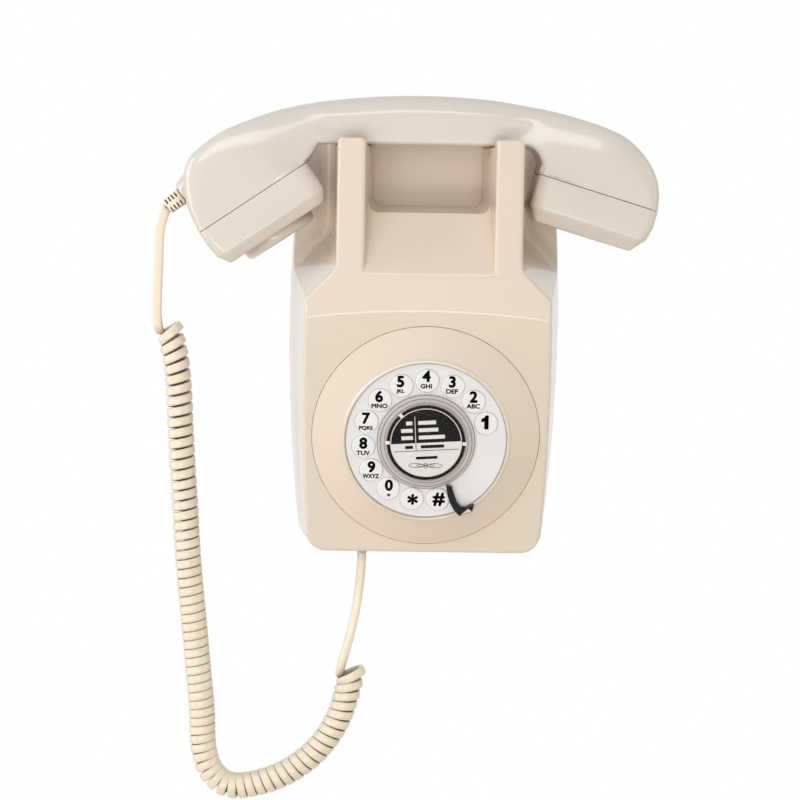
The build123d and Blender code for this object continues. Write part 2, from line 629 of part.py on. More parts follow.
for side, name in ((-1, "gong_left"), (1, "gong_right")):
    front, rim, rim_in = -GONG_BACK - GONG_WALL, -GONG_BACK - GONG_DEEP, GONG_R - GONG_WALL - 0.1
    with BuildPart() as gong:
        with BuildSketch(Plane(origin=(side * GONG_X, 0, GONG_Z), x_dir=(1, 0, 0), z_dir=(0, 0, 1))):
            with BuildLine():
                Polyline((0, -GONG_BACK), (0, front), (GONG_CROWN_R, front))
                ThreePointArc((GONG_CROWN_R, front), (GONG_R - 2.9, front - 3.0), (GONG_R, rim))
                Line((GONG_R, rim), (rim_in, rim))
                ThreePointArc((rim_in, rim), (GONG_R - 3.9, front - 2.0), (GONG_CROWN_R, -GONG_BACK))
                Line((GONG_CROWN_R, -GONG_BACK), (0, -GONG_BACK))
            make_face()
        revolve(axis=Axis((side * GONG_X, 0, GONG_Z), (0, 1, 0)))
        with BuildSketch(Plane.XZ.offset(BASE_THICK)):
            with Locations((side * GONG_X, GONG_Z)):
                Circle(GONG_POST_R)
        extrude(amount=GONG_BACK - BASE_THICK + 0.5)
    save(gong, name)

with BuildPart() as ringer_coil:
    with BuildSketch(Plane.XZ.offset(COIL_BACK)):
        with Locations((0, COIL_Z)):
            Rectangle(COIL_WIDE, COIL_TALL)
    extrude(amount=COIL_DEEP)
    with BuildSketch(Plane.XZ.offset(BASE_THICK)):
        with Locations((-COIL_LEG_X, COIL_Z - COIL_LEG_DOWN), (COIL_LEG_X, COIL_Z - COIL_LEG_DOWN)):
            Rectangle(COIL_LEG, COIL_LEG)
    extrude(amount=COIL_BACK - BASE_THICK)
save(ringer_coil, "ringer_coil")

with BuildPart() as clapper:
    with BuildSketch(Plane.XZ.offset(CLAPPER_DEPTH)):
        with Locations((0, (CLAPPER_PIVOT_Z + GONG_Z) / 2)):
            Rectangle(CLAPPER_ARM, CLAPPER_PIVOT_Z - GONG_Z)
        with Locations((0, GONG_Z)):
            Circle(CLAPPER_HEAD_R)
    extrude(amount=CLAPPER_THICK)
save(clapper, "clapper")

for side, name in ((-1, "plunger_left"), (1, "plunger_right")):
    with BuildPart() as plunger:
        with BuildSketch(Plane.XY.offset(BAR_Z + BAR_THICK)):
            with Locations((side * PLUNGER_X, -HANDSET_DEPTH)):
                Circle(PLUNGER_R)
        extrude(amount=SADDLE_Z - 0.1 - BAR_Z - BAR_THICK)
        # its arm reaches to the pocket, where the handle's edge also presses it
        with BuildSketch(Plane.XY.offset(SADDLE_Z - 0.1)):
            with Locations((side * (PLUNGER_X - TAB_REACH / 2), -HANDSET_DEPTH)):
                Rectangle(TAB_REACH, TAB_WIDTH)
        extrude(amount=-TAB_THICK)
        upper_edges = plunger.edges().filter_by(lambda e: abs(e.center().Z - SADDLE_Z + 0.1) < 0.01)
        fillet(upper_edges, 0.8)
    save(plunger, name)

with BuildPart() as hook_bar:
    with BuildSketch(Plane.XY.offset(BAR_Z)):
        with Locations((0, -HANDSET_DEPTH)):
            RectangleRounded(2 * PLUNGER_X + 8, BAR_DEEP, BAR_DEEP / 2 - 0.5)
    extrude(amount=BAR_THICK)
save(hook_bar, "hook_bar")

with BuildPart() as hook_switch:
    with BuildSketch(Plane.XY.offset(BAR_Z - SWITCH_BOX_DOWN)):
        with Locations((0, -HANDSET_DEPTH)):
            Rectangle(SWITCH_BOX_WIDE, BAR_DEEP)
    extrude(amount=SWITCH_BOX_TALL)
    # the arm that carries it, from the base plate
    with BuildSketch(Plane.XY.offset(BAR_Z - SWITCH_BOX_DOWN)):
        with Locations((0, -(HANDSET_DEPTH + BASE_THICK) / 2)):
            Rectangle(SWITCH_ARM_WIDE, HANDSET_DEPTH - BASE_THICK)
    extrude(amount=SWITCH_ARM_THICK)
save(hook_switch, "hook_switch")

with BuildPart() as line_jack:
    with BuildSketch(Plane.XY.offset(JACK_LOW)):
        with Locations((JACK_X, -JACK_DEPTH)):
            Rectangle(JACK_WIDE, JACK_THICK)
    extrude(amount=JACK_TALL)
    with BuildSketch(Plane.XY.offset(JACK_LOW)):
        with Locations((JACK_X, -JACK_DEPTH)):
            Rectangle(JACK_WIDE - 2 * JACK_WALL, JACK_THICK - 2 * JACK_WALL)
    extrude(amount=JACK_HOLLOW, mode=Mode.SUBTRACT)
save(line_jack, "line_jack")

with BuildPart() as ringer_switch_body:
    with BuildSketch(Plane.XY.offset(CASE_LOW + 6)):
        with Locations((SWITCH_X, -SWITCH_DEPTH)):
            Rectangle(SWITCH_SLOT + 6, 8)
    extrude(amount=6)
save(ringer_switch_body, "ringer_switch_body")

with BuildPart() as ringer_switch:
    with BuildSketch(Plane.XY.offset(CASE_LOW - SWITCH_KNOB_OUT)):
        with Locations((SWITCH_X - SWITCH_TRAVEL / 2, -SWITCH_DEPTH)):
            Rectangle(SWITCH_KNOB_WIDE, SWITCH_KNOB_THICK)
    extrude(amount=SWITCH_KNOB_TALL)
save(ringer_switch, "ringer_switch")

with BuildPart() as cord_grommet:
    with BuildSketch(Plane.XY.offset(GROMMET_LOW)):
        with Locations((CORD_X, -CORD_DEPTH)):
            Circle(GROMMET_R - 0.6)
    extrude(amount=1.2)
    with BuildSketch(Plane.XY.offset(GROMMET_LOW + 1.2)):
        with Locations((CORD_X, -CORD_DEPTH)):
            Circle(GROMMET_R)
    extrude(amount=6)
save(cord_grommet, "cord_grommet")


# ================================================================ handset
def cap_plane(centre, angle):
    """A cap's parting plane: x along the handset, z out towards its open face."""
    turn = radians(angle)
    return Plane(
        origin=(centre[0], -HANDSET_DEPTH, centre[1]),
        x_dir=(cos(turn), 0, sin(turn)),
        z_dir=(sin(turn), 0, -cos(turn)),
    )


MOUTH = cap_plane(MOUTH_CENTRE, MOUTH_ANGLE)
EAR = cap_plane(EAR_CENTRE, EAR_ANGLE)


def end_of(plane, along):
    """A point on a parting plane in the handset's middle plane, as (x, z)."""
    point = plane.origin + plane.x_dir * along
    return (point.X, point.Z)


HALF_CAP = CAP_LENGTH / 2
BOOT = Plane(origin=(BOOT_AT[0], -HANDSET_DEPTH, BOOT_AT[1]), x_dir=(0, 1, 0),
             z_dir=(cos(radians(BOOT_ANGLE)), 0, sin(radians(BOOT_ANGLE))))

with BuildPart() as handset_shell:
    with BuildSketch(Plane.XZ.offset(HANDSET_DEPTH)):
        with BuildLine():
            Spline(end_of(EAR, HALF_CAP), *HANDSET_BACK, end_of(MOUTH, -HALF_CAP))
            Polyline(end_of(MOUTH, -HALF_CAP), end_of(MOUTH, HALF_CAP), HANDLE_INNER_LEFT, HANDLE_INNER_RIGHT)
            RadiusArc(HANDLE_INNER_RIGHT, end_of(EAR, -HALF_CAP), 9)
            Line(end_of(EAR, -HALF_CAP), end_of(EAR, HALF_CAP))
        make_face()
    extrude(amount=END_HALF, both=True)
    # seen from above it is narrower along the handle than at its ends
    with BuildSketch(Plane.XY):
        with BuildLine():
            upper = [(x, -HANDSET_DEPTH + y) for x, y in HALF_PLAN]
            lower = [(x, -HANDSET_DEPTH - y) for x, y in reversed(HALF_PLAN)]
            Polyline(*upper, *lower, close=True)
        make_face()
    extrude(amount=140, mode=Mode.INTERSECT)
    # hollow ends, and the passage for the wires and the weight
    for plane, depth in ((MOUTH, MOUTH_HOLLOW), (EAR, EAR_HOLLOW)):
        with BuildSketch(plane):
            RectangleRounded(CAP_LENGTH - 6, 2 * END_HALF - 6, CAP_CORNER - 3)
        extrude(amount=-depth, taper=20, mode=Mode.SUBTRACT)
    with BuildSketch(Plane.XZ.offset(HANDSET_DEPTH)):
        with BuildLine():
            Polyline(*HANDLE_PASSAGE, close=True)
        make_face()
    extrude(amount=PASSAGE_HALF, both=True, mode=Mode.SUBTRACT)
    # the collar that the cord's boot sits in
    with BuildSketch(BOOT.offset(-9)):
        Circle(COLLAR_R)
    with BuildSketch(BOOT.offset(-1)):
        Circle(COLLAR_TIP_R)
    loft()
    with BuildSketch(BOOT.offset(-14)):
        Circle(BOOT_SPIGOT_R + 0.15)
    extrude(amount=16, mode=Mode.SUBTRACT)
save(handset_shell, "handset_shell")


def sound_holes(plane, depth):
    """Cutters for a pattern of sound holes: one, six round it, then twelve."""
    with BuildPart() as cutters:
        with BuildSketch(plane):
            Circle(SOUND_HOLE_R)
            with PolarLocations(6, 6):
                Circle(SOUND_HOLE_R)
            with PolarLocations(12, 12):
                Circle(SOUND_HOLE_R)
        extrude(amount=depth)
    return cutters.part


for plane, name, straight, bevel in (
    (MOUTH, "mouthpiece_cap", MOUTH_STRAIGHT, MOUTH_BEVEL),
    (EAR, "earpiece_cap", EAR_STRAIGHT, EAR_BEVEL),
):
    with BuildPart() as cap:
        with BuildSketch(plane.offset(CAP_SEAM)):
            RectangleRounded(CAP_LENGTH, 2 * END_HALF, CAP_CORNER)
        extrude(amount=straight - CAP_SEAM)
        with BuildSketch(plane.offset(straight)):
            RectangleRounded(CAP_LENGTH, 2 * END_HALF, CAP_CORNER)
        extrude(amount=bevel, taper=38)
        with BuildSketch(plane.offset(CAP_SEAM)):
            RectangleRounded(CAP_LENGTH - 2 * CAP_WALL, 2 * (END_HALF - CAP_WALL), CAP_CORNER - CAP_WALL)
        extrude(amount=straight - CAP_SEAM, mode=Mode.SUBTRACT)
        add(sound_holes(plane.offset(straight - 1), bevel + 2), mode=Mode.SUBTRACT)
    save(cap, name)

with BuildPart() as mouthpiece_disc:
    disc_foot = MOUTH.offset(MOUTH_STRAIGHT + MOUTH_BEVEL)
    with BuildSketch(disc_foot):
        Circle(DISC_R)
        Circle(DISC_R - 2.0, mode=Mode.SUBTRACT)
    extrude(amount=DISC_FOOT)
    with BuildSketch(disc_foot.offset(DISC_FOOT)):
        Circle(DISC_R)
    extrude(amount=DISC_THICK)
    add(sound_holes(disc_foot.offset(DISC_FOOT - 0.5), DISC_THICK + 1), mode=Mode.SUBTRACT)
    circles = mouthpiece_disc.edges().filter_by(GeomType.CIRCLE)
    rims = circles.filter_by(lambda e: abs(e.radius - DISC_R) < 0.01)
    fillet(rims.sort_by(Axis(MOUTH.origin, MOUTH.z_dir))[-1], 1.2)
save(mouthpiece_disc, "mouthpiece_disc")

for plane, name, radius, low, thick in (
    (MOUTH, "microphone", 13.0, 5.0, 9.0),
    (EAR, "receiver", 19.0, 2.0, 13.0),
):
    with BuildPart() as capsule:
        with BuildSketch(plane.offset(low)):
            Circle(radius)
        extrude(amount=thick)
    save(capsule, name)

with BuildPart() as handset_weight:
    with BuildSketch(Plane.XZ.offset(HANDSET_DEPTH)):
        with Locations((0, WEIGHT_Z)):
            Rectangle(WEIGHT_LONG, WEIGHT_TALL)
    extrude(amount=WEIGHT_HALF, both=True)
save(handset_weight, "handset_weight")

with BuildPart() as cord_boot:
    with BuildSketch(BOOT.offset(-12)):
        Circle(BOOT_SPIGOT_R)
    extrude(amount=BOOT_SPIGOT_LENGTH)
    with BuildSketch(BOOT.offset(BOOT_SPIGOT_LENGTH - 12)):
        Circle(BOOT_R)
    with BuildSketch(BOOT.offset(BOOT_LENGTH)):
        Circle(BOOT_TIP_R)
    loft()
save(cord_boot, "cord_boot")


# ================================================================ cord
def corner_radii(points):
    """Each corner's radius: 0.45 of its shorter run over the tangent of half its turn."""
    radii = []
    for before, corner, after in zip(points, points[1:], points[2:]):
        into, away = Vector(*corner) - Vector(*before), Vector(*after) - Vector(*corner)
        half_turn = radians(into.get_angle(away)) / 2
        radii.append(0.45 * min(into.length, away.length) / tan(half_turn))
    return radii


for points, diameter, name in (
    (UPPER_ROUTE, FLAT_WIDTH, "cord_upper"),
    (COIL_ROUTE, COIL_OUTSIDE, "cord_coil"),
    (LOWER_ROUTE, FLAT_WIDTH, "cord_lower"),
):
    radii = corner_radii(points)
    with BuildPart() as cord:
        with BuildLine():
            path = FilletPolyline(*points, radius=radii)
        with BuildSketch(Plane(origin=path @ 0, z_dir=path % 0)):
            Circle(diameter / 2)
        sweep()
    save(cord, name)
    tube = pi * diameter**2 / 4 * path.length
    print(name, "radii", [round(r, 1) for r in radii], "length", round(path.length, 1),
          "volume ratio", round(cord.part.volume / tube, 4))
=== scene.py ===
import json
from math import cos, pi, radians, sin, tan

import bmesh
import bpy
import numpy as np
from mathutils import Matrix, Vector


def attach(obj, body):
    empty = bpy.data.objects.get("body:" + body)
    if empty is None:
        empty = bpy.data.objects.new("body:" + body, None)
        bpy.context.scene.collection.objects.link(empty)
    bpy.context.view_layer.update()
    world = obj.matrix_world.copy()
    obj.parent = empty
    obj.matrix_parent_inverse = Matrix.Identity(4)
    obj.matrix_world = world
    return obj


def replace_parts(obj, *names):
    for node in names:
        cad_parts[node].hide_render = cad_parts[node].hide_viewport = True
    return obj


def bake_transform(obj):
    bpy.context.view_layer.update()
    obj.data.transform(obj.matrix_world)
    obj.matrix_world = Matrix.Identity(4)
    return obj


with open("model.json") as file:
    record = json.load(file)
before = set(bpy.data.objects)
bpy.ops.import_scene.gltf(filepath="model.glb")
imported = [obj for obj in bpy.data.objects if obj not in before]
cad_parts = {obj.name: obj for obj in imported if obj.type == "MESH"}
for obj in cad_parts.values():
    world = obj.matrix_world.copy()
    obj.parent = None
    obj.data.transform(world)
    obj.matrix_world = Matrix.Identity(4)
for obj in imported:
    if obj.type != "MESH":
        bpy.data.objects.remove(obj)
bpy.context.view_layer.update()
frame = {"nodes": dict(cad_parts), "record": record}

# The looks of a wall telephone, made round its CAD frame.  Metres; +Z up, the front faces -Y.
MM = 0.001
DOUBLED = 0.002 * MM      # points closer than this are merged
NODES = frame["nodes"]


# ================================================================ helpers
def mesh_object(name, vertices, faces, smooth=True):
    """A mesh object from points and faces, shaded smooth or flat."""
    mesh = bpy.data.meshes.new(name)
    mesh.from_pydata([tuple(v) for v in vertices], [], [tuple(f) for f in faces])
    mesh.update()
    mesh.polygons.foreach_set("use_smooth", [smooth] * len(mesh.polygons))
    made = bpy.data.objects.new(name, mesh)
    bpy.context.scene.collection.objects.link(made)
    return made


def tube_faces(rings, around, closed_ends=True):
    """Faces of a tube of rings, each with the same number of points round it."""
    faces = []
    for i in range(rings - 1):
        for j in range(around):
            k = (j + 1) % around
            faces.append((i * around + j, i * around + k, (i + 1) * around + k, (i + 1) * around + j))
    if closed_ends:
        faces.append(tuple(reversed(range(around))))
        faces.append(tuple(range((rings - 1) * around, rings * around)))
    return faces


def tidy_normals(made, sharp_angle=None):
    """Merge doubled points, turn all faces outwards, and mark sharp edges."""
    work = bmesh.new()
    work.from_mesh(made.data)
    bmesh.ops.remove_doubles(work, verts=work.verts, dist=DOUBLED)
    bmesh.ops.dissolve_degenerate(work, edges=work.edges, dist=DOUBLED)
    bmesh.ops.recalc_face_normals(work, faces=work.faces)
    if sharp_angle is not None:
        for edge in work.edges:
            if len(edge.link_faces) == 2 and edge.calc_face_angle(0) > radians(sharp_angle):
                edge.smooth = False
    work.to_mesh(made.data)
    work.free()
    return made


def apply_modifiers(made):
    """Bake an object's modifiers into its mesh."""
    evaluated = made.evaluated_get(bpy.context.evaluated_depsgraph_get())
    baked = bpy.data.meshes.new_from_object(evaluated)
    made.modifiers.clear()
    old = made.data
    made.data = baked
    bpy.data.meshes.remove(old)
    return made


def cut(made, tool):
    """Take one closed mesh away from another."""
    boolean = made.modifiers.new("cut", "BOOLEAN")
    boolean.operation = "DIFFERENCE"
    boolean.solver = "EXACT"
    boolean.object = tool
    apply_modifiers(made)
    bpy.data.objects.remove(tool)
    return made


def clothe(made, material, body):
    """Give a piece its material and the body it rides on."""
    made.data.materials.clear()
    made.data.materials.append(material)
    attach(made, body)
    return made


def polar(radius, angle):
    """A point at a radius and an angle."""
    return (radius * cos(angle), radius * sin(angle))


def smooth_step(low, high, x):
    """0 below low, 1 above high, and a soft turn between."""
    t = np.clip((np.asarray(x, float) - low) / (high - low), 0, 1)
    return t * t * (3 - 2 * t)


# ================================================================ materials
GRAIN_SCALE, GRAIN_DEPTH = 1400.0, 0.01 * MM
GLOSS_SPREAD = 0.01       # how far the roughness strays either way
PLASTIC_IOR, COAT_ROUGHNESS = 1.5, 0.07


def plastic(name, colour, other, roughness=0.3, grain=0.015, coat=0.0, blotch=28.0, crevice_shade=None,
            reach=10 * MM, shine=0.5):
    """Moulded plastic: two close tones in soft blotches, uneven gloss, a fine grain and painted shade that
    darkens its crevices.
    """
    material = bpy.data.materials.new(name)
    material.use_nodes = True
    tree = material.node_tree
    shader = tree.nodes["Principled BSDF"]
    place = tree.nodes.new("ShaderNodeTexCoord")

    def noise(scale, detail):
        made = tree.nodes.new("ShaderNodeTexNoise")
        made.inputs["Scale"].default_value = scale
        made.inputs["Detail"].default_value = detail
        tree.links.new(place.outputs["Object"], made.inputs["Vector"])
        return made.outputs["Fac"]

    tones = tree.nodes.new("ShaderNodeValToRGB")
    for element, position, tone in zip(tones.color_ramp.elements, (0.3, 0.7), (other, colour)):
        element.position = position
        element.color = (*tone, 1)
    tree.links.new(noise(blotch, 3.0), tones.inputs["Fac"])
    base = tones.outputs["Color"]
    # Painted shade: where ambient occlusion finds other surfaces near, the base colour is mixed towards a
    # darker shade colour, so crevices, gaps and recesses are painted darker in place of the shade that falls
    # there.
    if crevice_shade:
        hollow = tree.nodes.new("ShaderNodeAmbientOcclusion")
        hollow.inputs["Distance"].default_value = reach
        hollow.samples = 6
        painted_shade = tree.nodes.new("ShaderNodeMix")
        painted_shade.data_type = "RGBA"
        painted_shade.inputs[6].default_value = (*crevice_shade, 1)
        tree.links.new(hollow.outputs["AO"], painted_shade.inputs["Factor"])
        tree.links.new(base, painted_shade.inputs[7])
        base = painted_shade.outputs[2]
    tree.links.new(base, shader.inputs["Base Color"])
    gloss = tree.nodes.new("ShaderNodeMapRange")
    gloss.inputs["From Min"].default_value = 0.1
    gloss.inputs["From Max"].default_value = 0.9
    gloss.inputs["To Min"].default_value = roughness - GLOSS_SPREAD
    gloss.inputs["To Max"].default_value = roughness + GLOSS_SPREAD
    tree.links.new(noise(blotch * 1.5, 1.0), gloss.inputs["Value"])
    tree.links.new(gloss.outputs["Result"], shader.inputs["Roughness"])
    bump = tree.nodes.new("ShaderNodeBump")
    bump.inputs["Strength"].default_value = grain
    bump.inputs["Distance"].default_value = GRAIN_DEPTH
    tree.links.new(noise(GRAIN_SCALE, 2.0), bump.inputs["Height"])
    tree.links.new(bump.outputs["Normal"], shader.inputs["Normal"])
    shader.inputs["IOR"].default_value = PLASTIC_IOR
    shader.inputs["Specular IOR Level"].default_value = shine
    shader.inputs["Coat Weight"].default_value = coat
    shader.inputs["Coat Roughness"].default_value = COAT_ROUGHNESS
    return material


def metal(name, colour, other, roughness=0.35):
    """A plated or drawn metal, with a brushed unevenness."""
    material = plastic(name, colour, other, roughness, grain=0.1, blotch=60.0)
    material.node_tree.nodes["Principled BSDF"].inputs["Metallic"].default_value = 1.0
    return material


def clear(name, tint, cover):
    """Clear moulded acrylic: it lets most of what is behind it through, and has a glossy skin."""
    material = plastic(name, tint, tuple(0.94 * c for c in tint), 0.1, grain=0.01, coat=0.6)
    material.node_tree.nodes["Principled BSDF"].inputs["Alpha"].default_value = cover
    return material


# The ivory case, handset and cord carry painted shade: each darkens in its crevices towards a warm shade
# colour, nearly black brown in the gaps of the cord's coil.
MATERIALS = {
    "ivory_case": plastic("ivory_case", (0.755, 0.662, 0.562), (0.75, 0.655, 0.552), 0.26, grain=0.006,
                          coat=0.4, crevice_shade=(0.7, 0.58, 0.4), reach=7 * MM),
    "ivory_handset": plastic("ivory_handset", (0.715, 0.652, 0.588), (0.71, 0.645, 0.58), 0.2, grain=0.006,
                             coat=0.4, crevice_shade=(0.34, 0.22, 0.13), reach=7 * MM),
    "white_plate": plastic("white_plate", (0.83, 0.84, 0.86), (0.8, 0.81, 0.84), 0.18, 0.01, coat=0.3),
    "white_keys": plastic("white_keys", (0.86, 0.865, 0.88), (0.83, 0.835, 0.855), 0.2, 0.01, coat=0.3),
    "clear_plastic": clear("clear_plastic", (0.76, 0.70, 0.66), 0.24),
    "beige_button": plastic("beige_button", (0.74, 0.66, 0.56), (0.71, 0.62, 0.52), 0.25),
    "printed_card": plastic("printed_card", (0.82, 0.81, 0.79), (0.78, 0.77, 0.75), 0.45, 0.05, blotch=90.0),
    "black_plastic": plastic("black_plastic", (0.006, 0.006, 0.007), (0.01, 0.009, 0.009), 0.25, shine=0.22),
    "grey_rubber": plastic("grey_rubber", (0.62, 0.62, 0.63), (0.56, 0.56, 0.57), 0.7, 0.1),
    "circuit_board": plastic("circuit_board", (0.02, 0.11, 0.05), (0.03, 0.15, 0.07), 0.35, 0.1,
                             blotch=160.0),
    "inner_plastic": plastic("inner_plastic", (0.62, 0.56, 0.46), (0.58, 0.52, 0.42), 0.5, 0.1),
    "bell_brass": metal("bell_brass", (0.62, 0.42, 0.14), (0.5, 0.33, 0.1), 0.25),
    "coil_metal": plastic("coil_metal", (0.1, 0.08, 0.07), (0.13, 0.1, 0.09), 0.4),
    "steel": metal("steel", (0.5, 0.5, 0.5), (0.4, 0.4, 0.41), 0.35),
    "ivory_cord": plastic("ivory_cord", (0.86, 0.765, 0.615), (0.84, 0.735, 0.58), 0.3, coat=0.3,
                          blotch=70.0, crevice_shade=(0.07, 0.032, 0.01), reach=9 * MM),
}
INK = plastic("black_ink", (0.003, 0.003, 0.003), (0.006, 0.006, 0.006), 0.45, blotch=200.0, shine=0.06)
LENS = clear("card_lens", (0.25, 0.25, 0.25), 0.02)

SLOT_OF = {part["node"]: part["material_slot"] for part in frame["record"]["subparts"]}
for node, made in NODES.items():
    made.data.materials.clear()
    made.data.materials.append(MATERIALS[SLOT_OF[node]])


# ================================================================ camera and light
TARGET = Vector((-0.01277, -0.070, -0.03102))   # what the middle of the view looks at
CAMERA_AWAY = 1.2
CAMERA_UP, CAMERA_LEFT, CAMERA_ROLL = radians(5), radians(1), radians(1)
FOCAL, SENSOR = 111.24, 36.0
WORLD_LIGHT = 0.34
FLOOR_Z, FLOOR_REACH = -0.8, 6
# name, place, width, height, power and colour of each soft light
LIGHTS = [
    ("front", (-0.15, -1.6, 0.05), 0.8, 0.8, 6.0, (0.99, 0.995, 1)),
    ("above", (-0.4, -1.1, 1.1), 1.3, 0.6, 7.0, (1, 1, 1)),
    ("left", (-1.5, -0.3, 0.2), 0.5, 2.0, 9.0, (1, 1, 1)),
    ("right", (1.5, -0.3, 0.2), 0.5, 2.0, 3.5, (1, 0.95, 0.88)),
    ("low_strip", (-0.3, -1.5, -0.42), 1.2, 0.2, 4.2, (1, 0.96, 0.9)),
]


def make_camera():
    """The camera, a little above and to the left, and turned slightly about its own axis."""
    ahead = Vector((sin(CAMERA_LEFT) * cos(CAMERA_UP), cos(CAMERA_LEFT) * cos(CAMERA_UP), -sin(CAMERA_UP)))
    across = ahead.cross(Vector((0, 0, 1))).normalized()
    upward = across.cross(ahead)
    right = cos(CAMERA_ROLL) * across + sin(CAMERA_ROLL) * upward
    top = cos(CAMERA_ROLL) * upward - sin(CAMERA_ROLL) * across
    data = bpy.data.cameras.new("camera")
    data.lens, data.sensor_width = FOCAL, SENSOR
    data.clip_start, data.clip_end = 0.01, 50
    made = bpy.data.objects.new("camera", data)
    place = Matrix((right, top, -ahead)).transposed().to_4x4()
    place.translation = TARGET - CAMERA_AWAY * ahead
    made.matrix_world = place
    bpy.context.scene.collection.objects.link(made)
    bpy.context.scene.camera = made


def soft_light(name, place, width, height, power, colour):
    """A softbox that faces the middle of the telephone."""
    data = bpy.data.lights.new(name, "AREA")
    data.shape = "RECTANGLE"
    data.size, data.size_y, data.energy, data.color = width, height, power, colour
    made = bpy.data.objects.new(name, data)
    made.location = place
    made.rotation_euler = (TARGET - Vector(place)).to_track_quat("-Z", "Y").to_euler()
    bpy.context.scene.collection.objects.link(made)
    return made


def seen_or_mirrored(tree, light, white, output):
    """Show one shader to the camera and to mirror reflections, and the other to everything else."""
    seen = tree.nodes.new("ShaderNodeLightPath")
    either = tree.nodes.new("ShaderNodeMath")
    either.operation = "MAXIMUM"
    tree.links.new(seen.outputs["Is Camera Ray"], either.inputs[0])
    tree.links.new(seen.outputs["Is Glossy Ray"], either.inputs[1])
    chosen = tree.nodes.new("ShaderNodeMixShader")
    tree.links.new(either.outputs["Value"], chosen.inputs["Fac"])
    tree.links.new(light, chosen.inputs[1])
    tree.links.new(white, chosen.inputs[2])
    tree.links.new(chosen.outputs["Shader"], output)


def pale_floor():
    """A pale floor that looks as white as the world, and sends a softer light back up."""
    material = plastic("pale_floor", (0.8, 0.72, 0.6), (0.78, 0.7, 0.58), 0.8, 0.0, blotch=1.0)
    tree = material.node_tree
    white = tree.nodes.new("ShaderNodeEmission")
    white.inputs["Color"].default_value = (1, 1, 1, 1)
    seen_or_mirrored(tree, tree.nodes["Principled BSDF"].outputs["BSDF"], white.outputs["Emission"],
                     tree.nodes["Material Output"].inputs["Surface"])
    return material


def make_surroundings():
    """A pale floor well below the cord, a white world and soft lights."""
    world = bpy.data.worlds.new("white")
    world.use_nodes = True
    tree = world.node_tree
    background = tree.nodes["Background"]
    background.inputs["Color"].default_value = (1, 1, 1, 1)
    background.inputs["Strength"].default_value = WORLD_LIGHT
    plain = tree.nodes.new("ShaderNodeBackground")
    plain.inputs["Color"].default_value = (1, 1, 1, 1)
    seen_or_mirrored(tree, background.outputs["Background"], plain.outputs["Background"],
                     tree.nodes["World Output"].inputs["Surface"])
    bpy.context.scene.world = world
    corners = [(sx * FLOOR_REACH, sy * FLOOR_REACH, FLOOR_Z) for sx, sy in ((-1, -1), (1, -1), (1, 1), (-1, 1))]
    floor = mesh_object("floor", corners, [(0, 1, 2, 3)])
    floor.data.materials.append(pale_floor())
    for name, place, width, height, power, colour in LIGHTS:
        lamp = soft_light(name, place, width, height, power, colour)
        lamp.visible_glossy = name != "front"     # it would mirror as a hard square in the dial's face
    bpy.context.scene.view_settings.view_transform = "Standard"


make_camera()
make_surroundings()


# ================================================================ cord
CORD_WIDTH, CORD_THICK = 4.5 * MM, 2.3 * MM
COIL_RADIUS = 5.4 * MM       # from the coil's middle to the middle of its strand
# The route: from the boot to the coil, round the coil's long loop, and up to the case.
UPPER_ROUTE = [
    (-0.12811, -0.046, 0.06014), (-0.1297, -0.046, 0.0572), (-0.1320, -0.046, 0.049),
    (-0.1322, -0.0458, 0.034), (-0.1328, -0.0455, 0.018), (-0.1331, -0.045, 0.007),
    (-0.1322, -0.0447, -0.0005),
]
COIL_ROUTE = [
    (-0.1272, -0.0445, 0.0015), (-0.1234, -0.0445, -0.0125), (-0.1217, -0.044, -0.030),
    (-0.1206, -0.0435, -0.055), (-0.1184, -0.043, -0.086), (-0.1166, -0.042, -0.116),
    (-0.1135, -0.041, -0.146), (-0.1108, -0.040, -0.174), (-0.1088, -0.0395, -0.193),
    (-0.1087, -0.039, -0.209), (-0.1056, -0.0385, -0.222), (-0.0968, -0.038, -0.2306),
    (-0.084, -0.0375, -0.2302), (-0.068, -0.037, -0.225), (-0.0534, -0.0365, -0.215),
    (-0.043, -0.036, -0.2015), (-0.037, -0.0355, -0.187), (-0.0339, -0.0352, -0.171),
]
LOWER_ROUTE = [
    (-0.0412, -0.0345, -0.1745), (-0.0384, -0.0347, -0.1655), (-0.0352, -0.0351, -0.153),
    (-0.0323, -0.035, -0.139), (-0.0307, -0.035, -0.1255), (-0.030, -0.035, -0.116),
    (-0.030, -0.035, -0.1102),
]
# how far apart the turns lie, at distances along the coil
PITCH_AT = [0, 60 * MM, 100 * MM, 140 * MM, 190 * MM, 225 * MM, 260 * MM, 330 * MM]
PITCHES = [5.5 * MM, 5.3 * MM, 4.95 * MM, 4.5 * MM, 4.4 * MM, 4.5 * MM, 4.6 * MM, 4.9 * MM]
POINTS_A_TURN = 22
FLAT_POINTS = 60
# how much the turns lean and nod at the coil's ends: an amount, and how soon it fades
FIRST_LEAN, TIP_LEAN, LAST_LEAN = (0.36, 14 * MM), (0.4, 1.6 * MM), (1.0, 8 * MM)
FIRST_NOD, LAST_NOD = (0.25, 4 * MM), (0.2, 5 * MM)
LAST_NARROWING = (0.12, 4 * MM)


def smooth_line(route):
    """The points of the smooth NURBS line that a route's points control."""
    curve = bpy.data.curves.new("route", "CURVE")
    curve.dimensions = "3D"
    curve.resolution_u = 24
    spline = curve.splines.new("NURBS")
    spline.points.add(len(route) - 1)
    for point, place in zip(spline.points, route):
        point.co = (*place, 1)
    spline.order_u = 3
    spline.use_endpoint_u = True
    bare = bpy.data.objects.new("route", curve)
    mesh = bpy.data.meshes.new_from_object(bare)
    line = np.array([v.co for v in mesh.vertices], float)
    bpy.data.objects.remove(bare)
    bpy.data.curves.remove(curve)
    bpy.data.meshes.remove(mesh)
    return line


